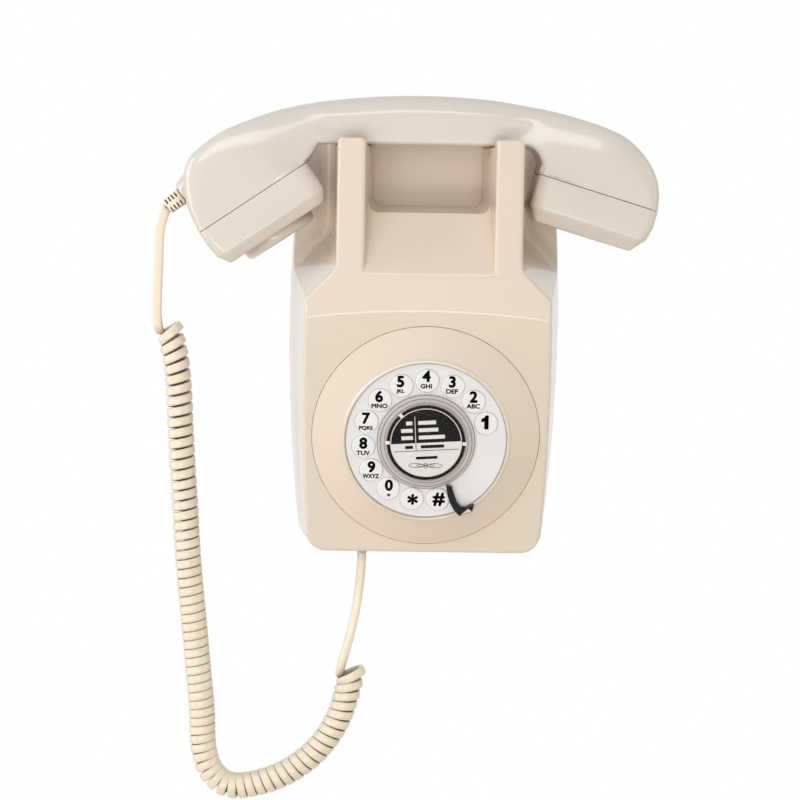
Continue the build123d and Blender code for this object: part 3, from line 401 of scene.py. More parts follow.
def distances(line):
    """Each point's distance along a line."""
    steps = np.linalg.norm(np.diff(line, axis=0), axis=1)
    return np.concatenate([[0], np.cumsum(steps)])


def at_distances(line, values, where):
    """Values given at a line's points, read at other distances along it."""
    along = distances(line)
    return np.stack([np.interp(where, along, values[:, k]) for k in range(values.shape[1])], axis=1)


def unit(vectors):
    """Vectors of length one."""
    return vectors / np.maximum(np.linalg.norm(vectors, axis=-1, keepdims=True), 1e-12)


def directions(line):
    """The direction of travel at each point of a line."""
    return unit(np.gradient(line, axis=0))


def fading(amount_and_reach, away):
    """An amount that fades with the distance from where it starts."""
    amount, reach = amount_and_reach
    return amount * np.exp(-away / reach)


def coil_points(route):
    """The coil's strand: a helix about the route, whose end turns lean, and the way its width lies."""
    centre = smooth_line(route)
    total = distances(centre)[-1]
    along, turned = [0.0], [0.0]
    while along[-1] < total:
        along.append(along[-1] + np.interp(along[-1], PITCH_AT, PITCHES) / POINTS_A_TURN)
        turned.append(turned[-1] + 1 / POINTS_A_TURN)
    along, turned = np.array(along), np.array(turned)
    along = along * total / along[-1]
    angle = pi - 2 * pi * turned * (round(turned[-1] - 0.5) + 0.5) / turned[-1]
    middle = at_distances(centre, centre, along)
    axis = unit(at_distances(centre, directions(centre), along))
    away = np.array([0.0, 1.0, 0.0])
    back = unit(away - (axis @ away)[:, None] * axis)
    side = np.cross(back, -axis)
    left = total - along
    lean = fading(FIRST_LEAN, along) + fading(TIP_LEAN, along) + fading(LAST_LEAN, left)
    radius = COIL_RADIUS * (1 - fading(LAST_NARROWING, left))
    out = np.cos(angle)[:, None] * side + np.sin(angle)[:, None] * back
    nod = fading(FIRST_NOD, along) - fading(LAST_NOD, left)
    drop = radius * (lean * np.cos(angle) - nod * np.sin(angle))
    strand = middle + radius[:, None] * out - drop[:, None] * axis
    return strand, unit(axis + lean[:, None] * side)


def flat_points(route):
    """A stretch that isn't coiled, and the way its width lies: across the view."""
    line = smooth_line(route)
    line = at_distances(line, line, np.linspace(0, distances(line)[-1], FLAT_POINTS))
    width = unit(np.cross(directions(line), np.array([0.0, 1.0, 0.0])))
    return line, width


def eased(points, joint, reach, passes):
    """Round off a line near one of its points, by averaging each point with its neighbours."""
    points = points.copy()
    low, high = max(1, joint - reach), min(len(points) - 1, joint + reach)
    for _ in range(passes):
        before, after = points[low - 1:high - 1], points[low + 1:high + 1]
        points[low:high] = 0.25 * before + 0.5 * points[low:high] + 0.25 * after
    return points


def strip_section():
    """The strand's cross-section: a flat strip with well rounded edges."""
    half, rim = CORD_WIDTH / 2, CORD_THICK / 2
    section = []
    round_r = 0.85 * rim
    for quarter, (sx, sy) in enumerate(((1, 1), (-1, 1), (-1, -1), (1, -1))):
        for angle in (8, 35, 62, 84):
            turn = radians(90 * quarter + angle)
            section.append((sx * (half - round_r) + round_r * cos(turn), sy * 0.15 * rim + round_r * sin(turn)))
    return section


def make_cord(boot):
    """One strip of cord from the case to the handset, most of it in the coil."""
    upper, upper_width = flat_points(UPPER_ROUTE)
    coil, coil_width = coil_points(COIL_ROUTE)
    lower, lower_width = flat_points(LOWER_ROUTE)
    path = np.concatenate([upper, coil, lower])
    width = np.concatenate([upper_width, coil_width, -lower_width])
    for joint in (len(upper), len(upper) + len(coil)):
        path = eased(path, joint, 6, 12)
        width = eased(width, joint, 9, 30)
    travel = directions(path)
    width = unit(width - (width * travel).sum(1)[:, None] * travel)
    out = np.cross(travel, width)
    section = strip_section()
    rings = [path + x * width + y * out for x, y in section]
    points = np.stack(rings, axis=1).reshape(-1, 3)
    made = mesh_object("curly_cord", points, tube_faces(len(path), len(section)))
    made.data.materials.append(MATERIALS["ivory_cord"])
    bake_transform(made)
    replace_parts(made, "cord_upper", "cord_coil", "cord_lower")


# ================================================================ handset
# Outlines are in millimetres, as (x, z) in the handset's middle plane.
HANDSET_Y = -46.0
END_HALF, HANDLE_HALF = 26.0, 16.5
HANDLE_LOW = 92.3
CAP_HALF_LENGTH = 31.25
CAP_IN_CORNER, CAP_OUT_CORNER = 8.0, 5.0
HANDLE_LEAN = 0.1            # the handle's front leans out towards its top
UNDERSIDE_ROUND = 2.0
# along the back of the handset: x, z, half width of its back, greatest half depth, reach of the rounding
BACK_LINE = [
    (-111.24, 48.24, 21, 26, 5), (-117.2, 61.3, 20, 26, 7), (-118.9, 71, 19.5, 26, 11),
    (-118.7, 79, 19, 26, 14), (-116.2, 84.8, 18.5, 26, 16), (-110.8, 90.1, 18, 26, 17),
    (-101, 97.2, 17, 26, 18), (-87.8, 103.2, 15, 25, 20), (-73.5, 108.3, 11.5, 23, 25),
    (-59.1, 111.7, 9, 21.5, 30), (-48.2, 113.4, 8, 21.5, 32), (-15, 116.1, 8, 21.5, 32),
    (10, 116.1, 8, 21.5, 32), (34.1, 114.2, 8, 21.5, 32), (45, 112.5, 8.5, 21.5, 32),
    (57.8, 110.2, 10, 22.5, 28), (72.6, 106.4, 13, 24, 23), (86.0, 101.9, 16, 25.5, 19),
    (94.0, 98.1, 17, 26, 17), (101.6, 91.7, 18, 26, 16), (106.6, 85.0, 19, 26, 14),
    (109.6, 78.5, 20, 26, 11), (111.0, 71.1, 20.5, 26, 7), (110.39, 62.31, 21, 26, 5),
]
EAR_ARC_CENTRE, EAR_ARC_R = (44.8, 83.8), 9.0
# the slanting faces between the handle and the ends: three points of each, as x, z, half depth
LEFT_FACET = [(-79, 97.5, 26), (-66, 83.5, 26), (-48, 98, 16.5)]
RIGHT_FACET = [(67, 97, 26), (56.6, 85.8, 26), (43, 98, 16.5)]
ROWS_ACROSS = 56
# each cap's straight side and its bevel, and how far its outer end is pulled in at heights down it
MOUTH_STRAIGHT, MOUTH_BEVEL, EAR_STRAIGHT, EAR_BEVEL = 16.0, 4.6, 16.4, 6.0
BEVEL_ANGLE = 38
MOUTH_PULLS = [(0, 0), (9, 0), (13, 0.35), (16, 1.3), (20.6, 1.3)]
EAR_PULLS = [(0, 0), (5, -0.7), (10, -0.2), (13, 0.3), (16, 1.4), (19, 2.4), (22.4, 2.4)]
HOLE_R = 1.2


class CapPlane:
    """A cap's parting plane: p along the handset, q across it, w out towards the cap's open face.

    outer_end says which way along p the handset's end lies, and reach how far out it goes.
    """

    def __init__(self, centre, angle, outer_end, reach):
        self.centre = np.array(centre, float)
        self.outer_end, self.reach = outer_end, reach
        self.along = np.array((cos(radians(angle)), sin(radians(angle))))
        self.out = np.array((sin(radians(angle)), -cos(radians(angle))))

    def point(self, p, w=0.0):
        """A point in the handset's middle plane, as (x, z)."""
        return self.centre + p * self.along + w * self.out

    def place(self, p, q, w):
        """A point in space, in millimetres."""
        x, z = self.point(p, w)
        return (x, HANDSET_Y + q, z)


MOUTH = CapPlane((-85.4, 65.8), 34.2, -1, CAP_HALF_LENGTH)
EAR = CapPlane((82.6, 70.6), -16.6, 1, CAP_HALF_LENGTH - 2.2)


def curve_through(points, where):
    """A smooth curve through given points, at given distances along it."""
    points = np.array(points, float)
    knots = np.concatenate([[0], np.cumsum(np.linalg.norm(np.diff(points[:, :2], axis=0), axis=1))])
    slopes = np.gradient(points, knots, axis=0)
    where = np.clip(where, 0, knots[-1])
    i = np.clip(np.searchsorted(knots, where, side="right") - 1, 0, len(points) - 2)
    span = (knots[i + 1] - knots[i])[:, None]
    t = (where - knots[i])[:, None] / span
    return ((1 + 2 * t) * (1 - t) ** 2 * points[i] + t * (1 - t) ** 2 * span * slopes[i]
            + t * t * (3 - 2 * t) * points[i + 1] + t * t * (t - 1) * span * slopes[i + 1])


def nearest(points, line):
    """For each point, its distance to a polyline and the place on it, as a fraction of a step count."""
    starts, steps = line[:-1], np.diff(line, axis=0)
    offset = points[:, None, :] - starts[None]
    t = np.clip((offset * steps).sum(2) / (steps * steps).sum(1), 0, 1)
    gaps = np.linalg.norm(offset - t[..., None] * steps, axis=2)
    best = gaps.argmin(axis=1)
    rows = np.arange(len(points))
    return gaps[rows, best], best + t[rows, best]


def soft_min(a, b, blend):
    """The smaller of two values, with a soft turn from one to the other."""
    h = np.clip(0.5 + 0.5 * (b - a) / blend, 0, 1)
    return b + (a - b) * h - blend * h * (1 - h)


def plane_over(corners):
    """A depth that varies evenly over (x, z), from three points."""
    corners = np.array(corners, float)
    terms = np.linalg.solve(np.column_stack([corners[:, :2], np.ones(3)]), corners[:, 2])
    return lambda at: at @ terms[:2] + terms[2]


def cap_depth(cap, p):
    """Half depth of a cap's outline at p along it: its inner corners are rounder than its outer ones."""
    outward = np.clip(p * cap.outer_end, -CAP_HALF_LENGTH, cap.reach)
    depth = np.full(np.shape(p), END_HALF)
    for left, corner in ((cap.reach - outward, CAP_OUT_CORNER), (CAP_HALF_LENGTH + outward, CAP_IN_CORNER)):
        within = np.clip(corner - left, 0, corner)
        depth = depth - (corner - np.sqrt(corner ** 2 - within ** 2))
    return depth


def shell_outlines():
    """The handset's back line and its lower line, point for point, and the dense lines they come from."""
    back = curve_through(BACK_LINE, np.linspace(0, 400, 900))
    back = back[: np.argmax(np.linalg.norm(back[:, :2] - BACK_LINE[-1][:2], axis=1) < 1e-6) + 1]
    start, end = np.array((47.8, HANDLE_LOW)), EAR.point(-CAP_HALF_LENGTH)
    centre = np.array(EAR_ARC_CENTRE)
    angles = np.linspace(np.arctan2(*(start - centre)[::-1]), np.arctan2(*(end - centre)[::-1]), 12)
    arc = centre + EAR_ARC_R * np.column_stack([np.cos(angles), np.sin(angles)])
    arc[0], arc[-1] = start, end
    inner = np.vstack([MOUTH.point(CAP_HALF_LENGTH), (-54.5, HANDLE_LOW), arc])
    lower = np.vstack([MOUTH.point(-MOUTH.reach), inner, EAR.point(EAR.reach)])
    pairs = [
        (MOUTH.point(-CAP_HALF_LENGTH), (-112.6, 50.9)), (MOUTH.centre, (-104, 95.3)),
        (MOUTH.point(CAP_HALF_LENGTH), (-64, 110.7)), ((-54.5, HANDLE_LOW), (-52, 112.8)),
        ((-3, HANDLE_LOW), (-3, 116.3)), (start, (46, 112.2)), (end, (60, 109.9)), (EAR.centre, (99, 95.7)),
        (EAR.point(EAR.reach), (110.9, 65.0)),
    ]
    low_at = nearest(np.array([low for low, _ in pairs], float), lower)[1]
    back_at = nearest(np.array([high for _, high in pairs], float), back[:, :2])[1]
    low_along = np.interp(low_at, range(len(lower)), distances(lower))
    back_along = np.interp(back_at, range(len(back)), distances(back[:, :2]))
    counts = [34, 34, 14, 60, 60, 14, 34, 34]
    share = [np.linspace(i, i + 1, n, endpoint=False) for i, n in enumerate(counts)]
    share = np.concatenate(share + [[len(counts)]])
    low_line = at_distances(lower, lower, np.interp(share, range(len(pairs)), low_along))
    back_line = at_distances(back[:, :2], back[:, :2], np.interp(share, range(len(pairs)), back_along))
    return back, inner, low_line, back_line


def shell_depth(at, back, inner):
    """Half depth of the handset's shell at points (x, z)."""
    gap, place = nearest(at, back[:, :2])
    rim, most, reach = (np.interp(place, range(len(back)), back[:, k]) for k in (2, 3, 4))
    fall = np.sqrt(1 - (1 - np.clip(gap / reach, 0, 1)) ** 2)
    depth = rim + (most - rim) * fall + (END_HALF - most) * smooth_step(0.8 * reach, 2.0 * reach, gap)
    middle = -soft_min(-plane_over(LEFT_FACET)(at), -plane_over(RIGHT_FACET)(at), 2.0)
    handle = HANDLE_HALF + HANDLE_LEAN * (at[:, 1] - 100)
    middle = -soft_min(-middle, -handle, 1.8)
    depth = soft_min(depth, middle, 1.0 + 2.0 * smooth_step(45, 78, np.abs(at[:, 0])))
    # the edges below the handle and at the inner sides of the ends
    edge, place = nearest(at, inner)
    beside = np.maximum(1 - place, np.maximum(place - 2, 0) / (len(inner) - 3))
    turn = UNDERSIDE_ROUND + (CAP_IN_CORNER - UNDERSIDE_ROUND) * smooth_step(0, 1, beside)
    left = np.clip(turn - edge, 0, turn)
    drop = turn - np.sqrt(turn ** 2 - left ** 2)
    at_end = smooth_step(0, 1, beside)
    depth = (1 - at_end) * (depth - drop) + at_end * soft_min(depth, END_HALF - drop, 0.6)
    # down at the parting planes the shell has the caps' own outline
    for cap in (MOUTH, EAR):
        p, h = (at - cap.centre) @ cap.along, -(at - cap.centre) @ cap.out
        beyond = smooth_step(CAP_HALF_LENGTH, CAP_HALF_LENGTH + 2, np.abs(p))
        near = (1 - smooth_step(0.0, 1.6, h)) * (1 - beyond)
        depth = near * cap_depth(cap, p) + (1 - near) * depth
    return depth


BOOT_AT, BOOT_ANGLE = (-121.5, 65.4), radians(218.5)
# the flared collar that the boot sits in, as distance along the boot's axis and radius
COLLAR = [(-14, 6), (-12, 9.4), (-8, 8.3), (-4.5, 7.3), (-2.2, 6.5), (-1.3, 6.0), (-0.9, 5.4), (-0.8, 3)]
# the boot itself, as distance along its axis and half width
BOOT = [(-9, 2.8), (-1, 2.8), (-0.7, 4.0), (-0.4, 4.3), (0.2, 4.35), (7.6, 3.85), (8.2, 3.7), (8.4, 3.3),
        (8.4, 2.0)]
SLOT_ROWS, SLOT_TALL, SLOT_WIDE, SLOT_STEP, SLOT_CORE = (-2.3, 2.3), 1.25, 0.75, 1.9, 1.6


def boot_place(along, up, across):
    """A point beside the boot's axis, in millimetres."""
    x = BOOT_AT[0] + along * cos(BOOT_ANGLE) + up * sin(BOOT_ANGLE)
    z = BOOT_AT[1] + along * sin(BOOT_ANGLE) - up * cos(BOOT_ANGLE)
    return (x, HANDSET_Y + across, z)


def ring_tube(name, rings, sharp_angle):
    """A closed tube through rings of points given in millimetres."""
    made = mesh_object(name, np.array(rings).reshape(-1, 3) * MM, tube_faces(len(rings), len(rings[0])))
    return tidy_normals(made, sharp_angle)


def make_shell():
    """The handset's shell: a front and a back that meet in strips along its back and its lower side."""
    back, inner, low_line, back_line = shell_outlines()
    u = np.linspace(0, 1, ROWS_ACROSS + 1)
    share = (u * u * (3 - 2 * u))[None, :, None]
    grid = low_line[:, None, :] * (1 - share) + back_line[:, None, :] * share
    count, rows = grid.shape[:2]
    depth = shell_depth(grid.reshape(-1, 2), back, inner).reshape(count, rows)
    front = np.stack([grid[..., 0], HANDSET_Y - depth, grid[..., 1]], axis=2).reshape(-1, 3)
    rear = np.stack([grid[..., 0], HANDSET_Y + depth, grid[..., 1]], axis=2).reshape(-1, 3)
    vertices = [tuple(p) for p in np.vstack([front, rear]) * MM]
    behind = count * rows
    faces = []
    for i in range(count - 1):
        for j in range(rows - 1):
            a, b = i * rows + j, (i + 1) * rows + j
            c, d = b + 1, a + 1
            faces += [(a, b, c, d), (behind + a, behind + d, behind + c, behind + b)]
        for j in (0, rows - 1):
            a, b = i * rows + j, (i + 1) * rows + j
            faces.append((a, b, behind + b, behind + a))
    for i in (0, count - 1):
        for j in range(rows - 1):
            a, b = i * rows + j, i * rows + j + 1
            faces.append((a, b, behind + b, behind + a))
    made = mesh_object("handset_body", vertices, faces)
    return tidy_normals(made, 38)


def make_collar():
    """The collar, a mesh of its own let into the shell."""
    turns = np.linspace(0, 2 * pi, 48, False)
    rings = [[boot_place(along, radius * cos(a), radius * sin(a)) for a in turns] for along, radius in COLLAR]
    return ring_tube("handset_collar", rings, 50)


def cap_outline(cap, inset, pull):
    """A cap's outline, inset all round, with its outer end pulled in further."""
    outline = []
    half = END_HALF - inset
    ends = ((-cap.outer_end, CAP_IN_CORNER, CAP_HALF_LENGTH), (cap.outer_end, CAP_OUT_CORNER, cap.reach - pull))
    for end, corner, reach in ends:
        radius = max(corner - inset, 0.8)
        p0, q0 = reach - inset - radius, half - radius
        turns = np.radians(np.linspace(0, 90, 13))
        quarter = [(end * (p0 + radius * sin(t)), q0 + radius * cos(t)) for t in turns]
        outline.append(quarter + [(p, -q) for p, q in reversed(quarter)])
    inner, outer = outline
    return inner + list(reversed(outer))


def make_cap(name, plane, straight, bevel, pulls):
    """A handset cap, before its sound holes: straight sides, a bevel and a flat face."""
    slope = tan(radians(BEVEL_ANGLE))
    foot = straight + bevel
    levels = [(0.2, 1.6), (0.2, 0.45), (0.3, 0.2), (0.45, 0.06), (0.7, 0.0), (straight * 0.5, 0.0),
              (straight - 1.6, 0.0), (straight - 0.9, 0.12), (straight - 0.1, 0.42),
              (straight + 0.7, 0.42 + 0.8 * slope), (foot - 0.9, (bevel - 0.9) * slope),
              (foot - 0.35, (bevel - 0.4) * slope), (foot - 0.08, bevel * slope + 0.35),
              (foot, bevel * slope + 0.9), (foot, bevel * slope + 4.0)]
    rings = []
    for w, inset in levels:
        pull = float(np.interp(w, *zip(*pulls)))
        rings.append([plane.place(p, q, w) for p, q in cap_outline(plane, inset, pull)])
    return ring_tube(name, rings, 40)


def make_disc():
    """The mouthpiece's raised disc, with a well rounded rim and sound holes."""
    profile = [(2.0, 20.3), (19.4, 20.3), (19.4, 22.4), (19.15, 23.4), (18.4, 24.4), (17.2, 24.95),
               (15.5, 25.1), (2.0, 25.1)]
    turns = np.linspace(0, 2 * pi, 72, endpoint=False)
    rings = [[MOUTH.place(r * cos(t), r * sin(t), w) for t in turns] for r, w in profile]
    return cut(ring_tube("mouth_disc", rings, 40), hole_tool(MOUTH, 22.5, 27.0))


def hole_tool(plane, low, high):
    """Short rods where the sound holes go: one, a ring of six and a ring of twelve."""
    places = [(0.0, 0.0)]
    for radius, count in ((6, 6), (12, 12)):
        places += [polar(radius, 2 * pi * i / count) for i in range(count)]
    vertices, faces = [], []
    for x, y in places:
        base = len(vertices)
        for w in (low, high):
            for turn in np.linspace(0, 2 * pi, 16, endpoint=False):
                vertices.append(np.array(plane.place(x + HOLE_R * cos(turn), y + HOLE_R * sin(turn), w)) * MM)
        faces += [tuple(base + k for k in face) for face in tube_faces(2, 16)]
    tool = mesh_object("hole_tool", vertices, faces, smooth=False)
    return tidy_normals(tool)


def make_boot():
    """The cord's boot: a tapered block with two rows of slots."""
    rings = []
    for along, half in BOOT:
        corner = min(1.6, half * 0.6)
        flat = half - corner
        ring = []
        for quarter, (su, sq) in enumerate(((1, 1), (-1, 1), (-1, -1), (1, -1))):
            for turn in np.radians(np.linspace(0, 90, 6) + 90 * quarter):
                ring.append(boot_place(along, su * flat + corner * cos(turn), sq * flat + corner * sin(turn)))
        rings.append(ring)
    made = ring_tube("cord_strain_boot", rings, 40)
    vertices, faces = [], []
    for row in SLOT_ROWS:
        for step in range(4):
            along = 1.0 + SLOT_STEP * step
            for near, far in ((-6, -SLOT_CORE), (SLOT_CORE, 6)):
                base = len(vertices)
                low, high = row - SLOT_TALL, row + SLOT_TALL
                for a in (along, along + SLOT_WIDE):
                    for up, across in ((low, near), (high, near), (high, far), (low, far)):
                        vertices.append(np.array(boot_place(a, up, across)) * MM)
                faces += [tuple(base + k for k in face) for face in tube_faces(2, 4)]
    return cut(made, tidy_normals(mesh_object("slot_tool", vertices, faces, smooth=False)))


def make_handset():
    """The shell and its collar, the two caps and the boot."""
    ivory = MATERIALS["ivory_handset"]
    shell = clothe(make_shell(), ivory, "handset")
    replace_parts(shell, "handset_shell")
    clothe(make_collar(), ivory, "handset")
    mouth = make_cap("mouth_cap", MOUTH, MOUTH_STRAIGHT, MOUTH_BEVEL, MOUTH_PULLS)
    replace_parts(clothe(mouth, ivory, "handset"), "mouthpiece_cap")
    ear = make_cap("ear_cap", EAR, EAR_STRAIGHT, EAR_BEVEL, EAR_PULLS)
    foot = EAR_STRAIGHT + EAR_BEVEL
    cut(ear, hole_tool(EAR, foot - 3.0, foot + 2.0))
    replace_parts(clothe(ear, ivory, "handset"), "earpiece_cap")
    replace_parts(clothe(make_disc(), ivory, "handset"), "mouthpiece_disc")
    boot = clothe(make_boot(), MATERIALS["ivory_cord"], "handset")
    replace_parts(boot, "cord_boot")
    return boot


make_cord(make_handset())


# ================================================================ dial prints
DIAL_AT = Vector((0, -69.90, -48.62)) * MM
DIAL_TILT = radians(12)
KEY_TOP, CARD_TOP, INK_THICK = 7.9, 9.94, 0.03
KEYS = [("1", ""), ("2", "ABC"), ("3", "DEF"), ("4", "GHI"), ("5", "JKL"), ("6", "MNO"), ("7", "PQRS"),
        ("8", "TUV"), ("9", "WXYZ"), ("0", "+"), ("*", ""), ("#", "")]
KEY_BODIES = ["1", "2", "3", "4", "5", "6", "7", "8", "9", "0", "star", "hash"]
KEY_PITCH_R, PRINT_R, FIRST_KEY, KEY_STEP = 30.3, 30.5, 18.0, 24.0
PRINT_LEAD = 1.0           # the characters sit a little ahead of their keys' middles
KEY_EDGE = 5.55            # no print goes past this radius of its key, so it clears the plate when pressed
MARK_WIDE = 7.7            # the widest that a key's letters may be
# height of a digit above letters, one that stands alone, the star, the letters and the plus sign
DIGIT_TALL, LONE_TALL, STAR_TALL, LETTERS_TALL, PLUS_TALL = 5.2, 6.4, 5.0, 2.1, 1.6
DIGIT_RISE, LONE_RISE, LETTERS_DROP = 2.35, 0.2, 2.65     # from the key's middle
DIGIT_BOLD, LETTERS_BOLD, LETTERS_STRETCH = 0.36, 0.14, 1.1
SEAL_RADII, SEAL_Z = (5.66, 5.84), 6.55


def dial_place(x, y, z):
    """A point given on the dial: to the right, up its face and out of it, in millimetres."""
    up = Vector((0, -sin(DIAL_TILT), cos(DIAL_TILT)))
    out = Vector((0, -cos(DIAL_TILT), -sin(DIAL_TILT)))
    return DIAL_AT + (float(x) * Vector((1, 0, 0)) + float(y) * up + float(z) * out) * MM


def fit_on_key(spots):
    """A print's points, given from its key's middle, moved together until all of them lie on the key."""
    for _ in range(12):
        reach = np.hypot(*spots.T)
        far = int(reach.argmax())
        if reach[far] > KEY_EDGE:
            spots = spots - spots[far] * (1 - KEY_EDGE / reach[far])
    return spots * min(1.0, KEY_EDGE / float(np.hypot(*spots.T).max()))


def lettering(name, text, height, x, y, bold, stretch, key):
    """Printed characters on a key, centred near (x, y): a thin mesh, printed over itself to be bolder."""
    font = bpy.data.curves.new(name, "FONT")
    font.body, font.size, font.resolution_u = text, 1.0, 6
    letters = bpy.data.objects.new(name, font)
    flat = bpy.data.meshes.new_from_object(letters)
    corners = np.array([v.co[:2] for v in flat.vertices], float)
    glyph = [tuple(p.vertices) for p in flat.polygons]
    low, high = corners.min(axis=0), corners.max(axis=0)
    corners = (corners - (low + high) / 2) * height / (high[1] - low[1]) * np.array((stretch, 1.0))
    if text == "1":
        corners = np.array([(-0.09, -0.5), (0.13, -0.5), (0.13, 0.5), (-0.04, 0.5), (-0.09, 0.36),
                            (-0.33, 0.22), (-0.33, 0.04), (-0.09, 0.16)]) * height
        glyph = [(0, 1, 2, 3, 4, 7), (4, 5, 6, 7)]
    corners[:, 0] *= min(1.0, MARK_WIDE / float(np.ptp(corners[:, 0])))
    bpy.data.objects.remove(letters)
    bpy.data.curves.remove(font)
    bpy.data.meshes.remove(flat)
    offsets = ((0, 0), (1, 0), (-1, 0), (0, 1), (0, -1), (0.7, 0.7), (-0.7, 0.7), (-0.7, -0.7), (0.7, -0.7))
    spots = np.vstack([corners + (x - key[0] + bold * dx, y - key[1] + bold * dy) for dx, dy in offsets])
    vertices = [dial_place(key[0] + sx, key[1] + sy, KEY_TOP + INK_THICK) for sx, sy in fit_on_key(spots)]
    faces = [tuple(k + len(corners) * copy for k in face) for copy in range(len(offsets)) for face in glyph]
    return mesh_object(name, vertices, faces, smooth=False)


def band_faces(count):
    """Faces of a closed band between two loops of points."""
    return [(i, (i + 1) % count, count + (i + 1) % count, count + i) for i in range(count)]


def key_seal(name, x, y):
    """A pale seal in the gap round a key."""
    turns = np.radians(np.arange(0, 360, 10))
    vertices = [dial_place(x + r * cos(t), y + r * sin(t), SEAL_Z) for r in SEAL_RADII for t in turns]
    made = mesh_object(name, vertices, band_faces(len(turns)), smooth=False)
    return clothe(made, MATERIALS["white_plate"], "wall_unit")


def print_keys():
    """Each key's digit and letters, riding on the key, and the seal round it."""
    for index, ((digit, letters), name) in enumerate(zip(KEYS, KEY_BODIES)):
        angle = radians(FIRST_KEY + KEY_STEP * index)
        x, y = polar(PRINT_R, angle + radians(PRINT_LEAD))
        key = polar(KEY_PITCH_R, angle)
        key_seal(f"seal_{name}", *key)
        height, rise = (DIGIT_TALL, DIGIT_RISE) if letters else (LONE_TALL, LONE_RISE)
        if digit == "*":
            height = STAR_TALL
        mark = lettering(f"print_{name}", digit, height, x, y + rise, DIGIT_BOLD, 1.0, key)
        clothe(mark, INK, f"key_{name}_body")
        if letters:
            tall = LETTERS_TALL if letters != "+" else PLUS_TALL
            mark = lettering(f"letters_{name}", letters, tall, x, y - LETTERS_DROP, LETTERS_BOLD,
                             LETTERS_STRETCH, key)
            clothe(mark, INK, f"key_{name}_body")


def dial_ring(name, inner, outer, z, material, body, start=0.0, sweep=360.0):
    """A flat printed band on the dial, between two radii and two angles."""
    steps = max(6, int(sweep / 3))
    turns = np.radians(np.linspace(start, start + sweep, steps + 1))
    vertices = [dial_place(r * cos(t), r * sin(t), z) for r in (inner, outer) for t in turns]
    faces = [(i, i + 1, steps + 2 + i, steps + 1 + i) for i in range(steps)]
    return clothe(mesh_object(name, vertices, faces, smooth=False), material, body)


def dial_shape(name, outline, z, material, body="redial"):
    """A flat printed shape on the dial."""
    vertices = [dial_place(x, y, z) for x, y in outline]
    return clothe(mesh_object(name, vertices, [tuple(range(len(outline)))], smooth=False), material, body)


CARD_R = 18.3
CARD_TILT = radians(3.6)


def card_line(name, low, high, left, right, z, material):
    """A straight bar on the card, turned with the card's print."""
    corners = [(left, low), (right, low), (right, high), (left, high)]
    c, s = cos(CARD_TILT), sin(CARD_TILT)
    turned = [(x * c - y * s, x * s + y * c) for x, y in corners]
    return dial_shape(name, turned, z, material)


def card_loop(name, x, y, wide, tall):
    """A thin printed oval on the card."""
    turns = np.radians(np.arange(0, 360, 12))
    vertices = [dial_place(x + (wide - inset) * cos(t), y + (tall - inset) * sin(t), CARD_TOP)
                for inset in (0, 0.28) for t in turns]
    made = mesh_object(name, vertices, band_faces(len(turns)), smooth=False)
    return clothe(made, INK, "redial")


def print_card():
    """The card under the clear cover: a dark upper half with pale bars, and a pale lower half."""
    paper = MATERIALS["printed_card"]
    rim = dial_ring("card_paper", 0.01, CARD_R, CARD_TOP - 0.04, paper, "redial")
    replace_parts(rim, "redial_card")
    dial_ring("card_black_edge", 17.35, 18.95, 10.03, INK, "redial")
    steps = [radians(a) for a in range(0, 181, 6)]
    half = [(16.9 * cos(a + CARD_TILT), 16.9 * sin(a + CARD_TILT)) for a in steps]
    dial_shape("card_dark_half", half, CARD_TOP, INK)
    top = CARD_TOP + INK_THICK
    for index, (low, right) in enumerate(((9.2, 5.2), (5.5, 6.2), (1.8, 9.2))):
        card_line(f"card_bar_{index}", low, low + 1.9, -3.4, right, top, paper)
        card_line(f"card_mark_{index}", low, low + 1.9, -11.8 + 2.6 * (index == 0), -6.2, top, paper)
    card_line("card_upright", 0.0, 13.4, -5.1, -4.8, top, paper)
    for name, low, high, left, right in (
            ("rule", -4.1, -3.8, -15.6, 15.6), ("upright_low", -3.8, 0.0, -5.1, -4.8),
            ("mark_low", -2.8, -1.2, -10.2, -6.4), ("bar_low", -2.8, -1.2, -2.6, 8.6),
            ("word", -8.3, -6.9, -5.2, 5.2)):
        card_line(f"card_{name}", low, high, left, right, CARD_TOP, INK)
    scrolls = ((-4.6, 3.6, 1.2), (4.6, 3.6, 1.2), (-2.2, 2.2, 0.7), (2.2, 2.2, 0.7), (0, 0.8, 1.5))
    for index, (x, wide, tall) in enumerate(scrolls):
        card_loop(f"card_scroll_{index}", x, -11.6, wide, tall)


def dial_turning(name, profile, material, body):
    """A closed ring turned about the dial's middle, from its section as radius and height."""
    steps = 120
    vertices, faces = [], []
    for i in range(steps):
        turn = 2 * pi * i / steps
        vertices += [dial_place(r * cos(turn), r * sin(turn), z) for r, z in profile]
    around = len(profile)
    for i in range(steps):
        k = (i + 1) % steps
        for j in range(around):
            n = (j + 1) % around
            faces.append((i * around + j, i * around + n, k * around + n, k * around + j))
    made = mesh_object(name, vertices, faces)
    return clothe(tidy_normals(made, 32), material, body)


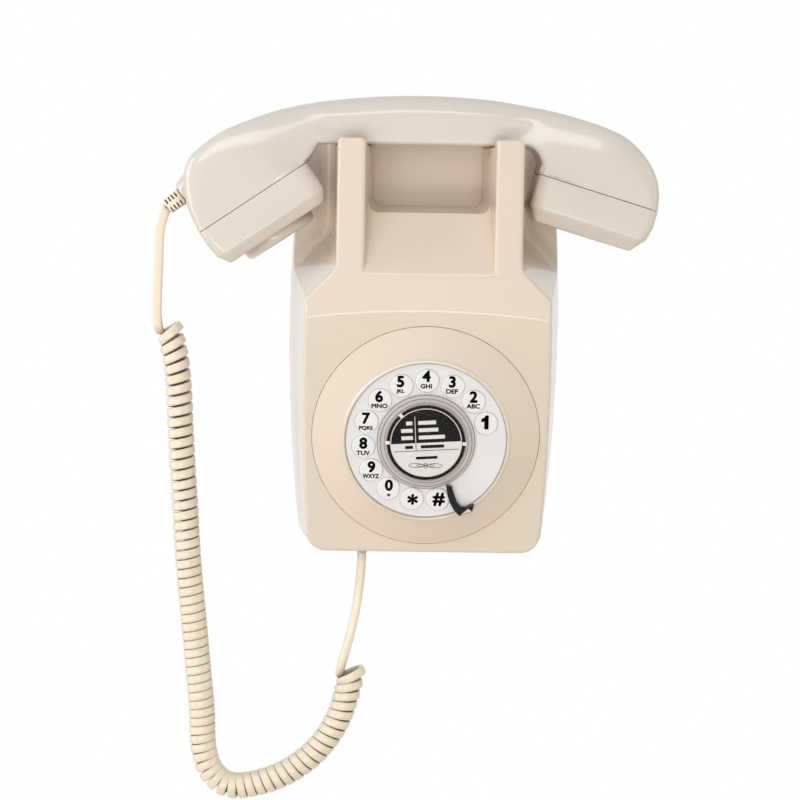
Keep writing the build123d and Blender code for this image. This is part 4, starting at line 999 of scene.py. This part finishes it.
def make_dial_clears():
    """The clear cover over the card and its catches, the clear ring, and the ivory rim of the number plate."""
    glass = MATERIALS["clear_plastic"]
    cover = [(0.02, 10.1), (18.9, 10.1), (18.9, 10.5), (18.6, 10.75), (18.0, 10.9), (0.02, 10.9)]
    lens = dial_turning("card_lens", cover, LENS, "redial")
    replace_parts(lens, "card_cover")
    hub = [(19.3, 7.02), (19.3, 10.0), (19.6, 10.3), (20.4, 10.35), (20.9, 9.7), (21.4, 9.6), (21.9, 10.1),
           (22.6, 9.9), (23.4, 9.3), (23.8, 8.4), (23.8, 7.02)]
    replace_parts(dial_turning("hub_clear_ring", hub, glass, "wall_unit"), "hub_ring")
    # Painted reflection: thin dark bands laid on the clear ring's ridges and just inside the plate's rim stand
    # in for the dark lines that reflections draw in clear plastic.
    lines = ((20.1, 20.35, 10.37), (22.0, 22.3, 10.12), (23.5, 23.8, 9.0), (38.75, 38.95, 7.04),
             (19.15, 19.35, 10.33))
    for index, (inner, outer, z) in enumerate(lines):
        dial_ring(f"ring_painted_reflection_{index}", inner, outer, z, MATERIALS["coil_metal"], "wall_unit")
    for index, angle in enumerate((0, 132, 180)):
        corners = ((17.6, -2.6), (19.6, -2.6), (19.6, 2.6), (17.6, 2.6))
        turned = [polar(r, radians(angle + a)) for r, a in corners]
        dial_shape(f"card_catch_{index}", turned, 10.94, MATERIALS["white_plate"], "redial")
    rim = [(39.3, 7.2), (39.35, 8.1), (39.7, 8.35), (40.4, 8.25), (41.0, 7.6), (40.2, 7.4)]
    dial_turning("plate_clear_rim", rim, MATERIALS["ivory_case"], "wall_unit")


def make_finger_stop():
    """The finger stop: a curved black blade with a splayed foot, and a painted reflection on the foot."""
    outline = [(10.2, -21.2), (10.9, -26), (12.4, -30.5), (14.4, -34), (17, -36.8), (23.2, -34.4),
               (24, -31.3), (20.8, -32.4), (17.6, -32.2), (15.7, -29.8), (14.2, -26), (13.0, -21.8)]
    count = len(outline)
    vertices = [dial_place(x, y, z) for z in (9.6, 11.2) for x, y in outline]
    vertices += [dial_place(x, y, 7.6) for x, y in outline[4:8]]
    foot = range(2 * count, 2 * count + 4)
    faces = tube_faces(2, count)
    faces += [(4, 5, foot[1], foot[0]), (5, 6, foot[2], foot[1]), (6, 7, foot[3], foot[2]),
              (7, 4, foot[0], foot[3]), tuple(foot)]
    blade = mesh_object("finger_stop_blade", vertices, faces, smooth=False)
    clothe(tidy_normals(blade), MATERIALS["black_plastic"], "wall_unit")
    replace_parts(blade, "finger_stop")
    # Painted reflection: a beige triangle on the foot's front face stands in for the pale pinkish reflection of
    # the ivory parts round it in the glossy black foot.
    dial_shape("finger_stop_painted_reflection", [(17.4, -36.4), (23.0, -34.2), (21.2, -33.0)], 11.22,
               MATERIALS["beige_button"], "wall_unit")


print_keys()
print_card()
make_dial_clears()
make_finger_stop()
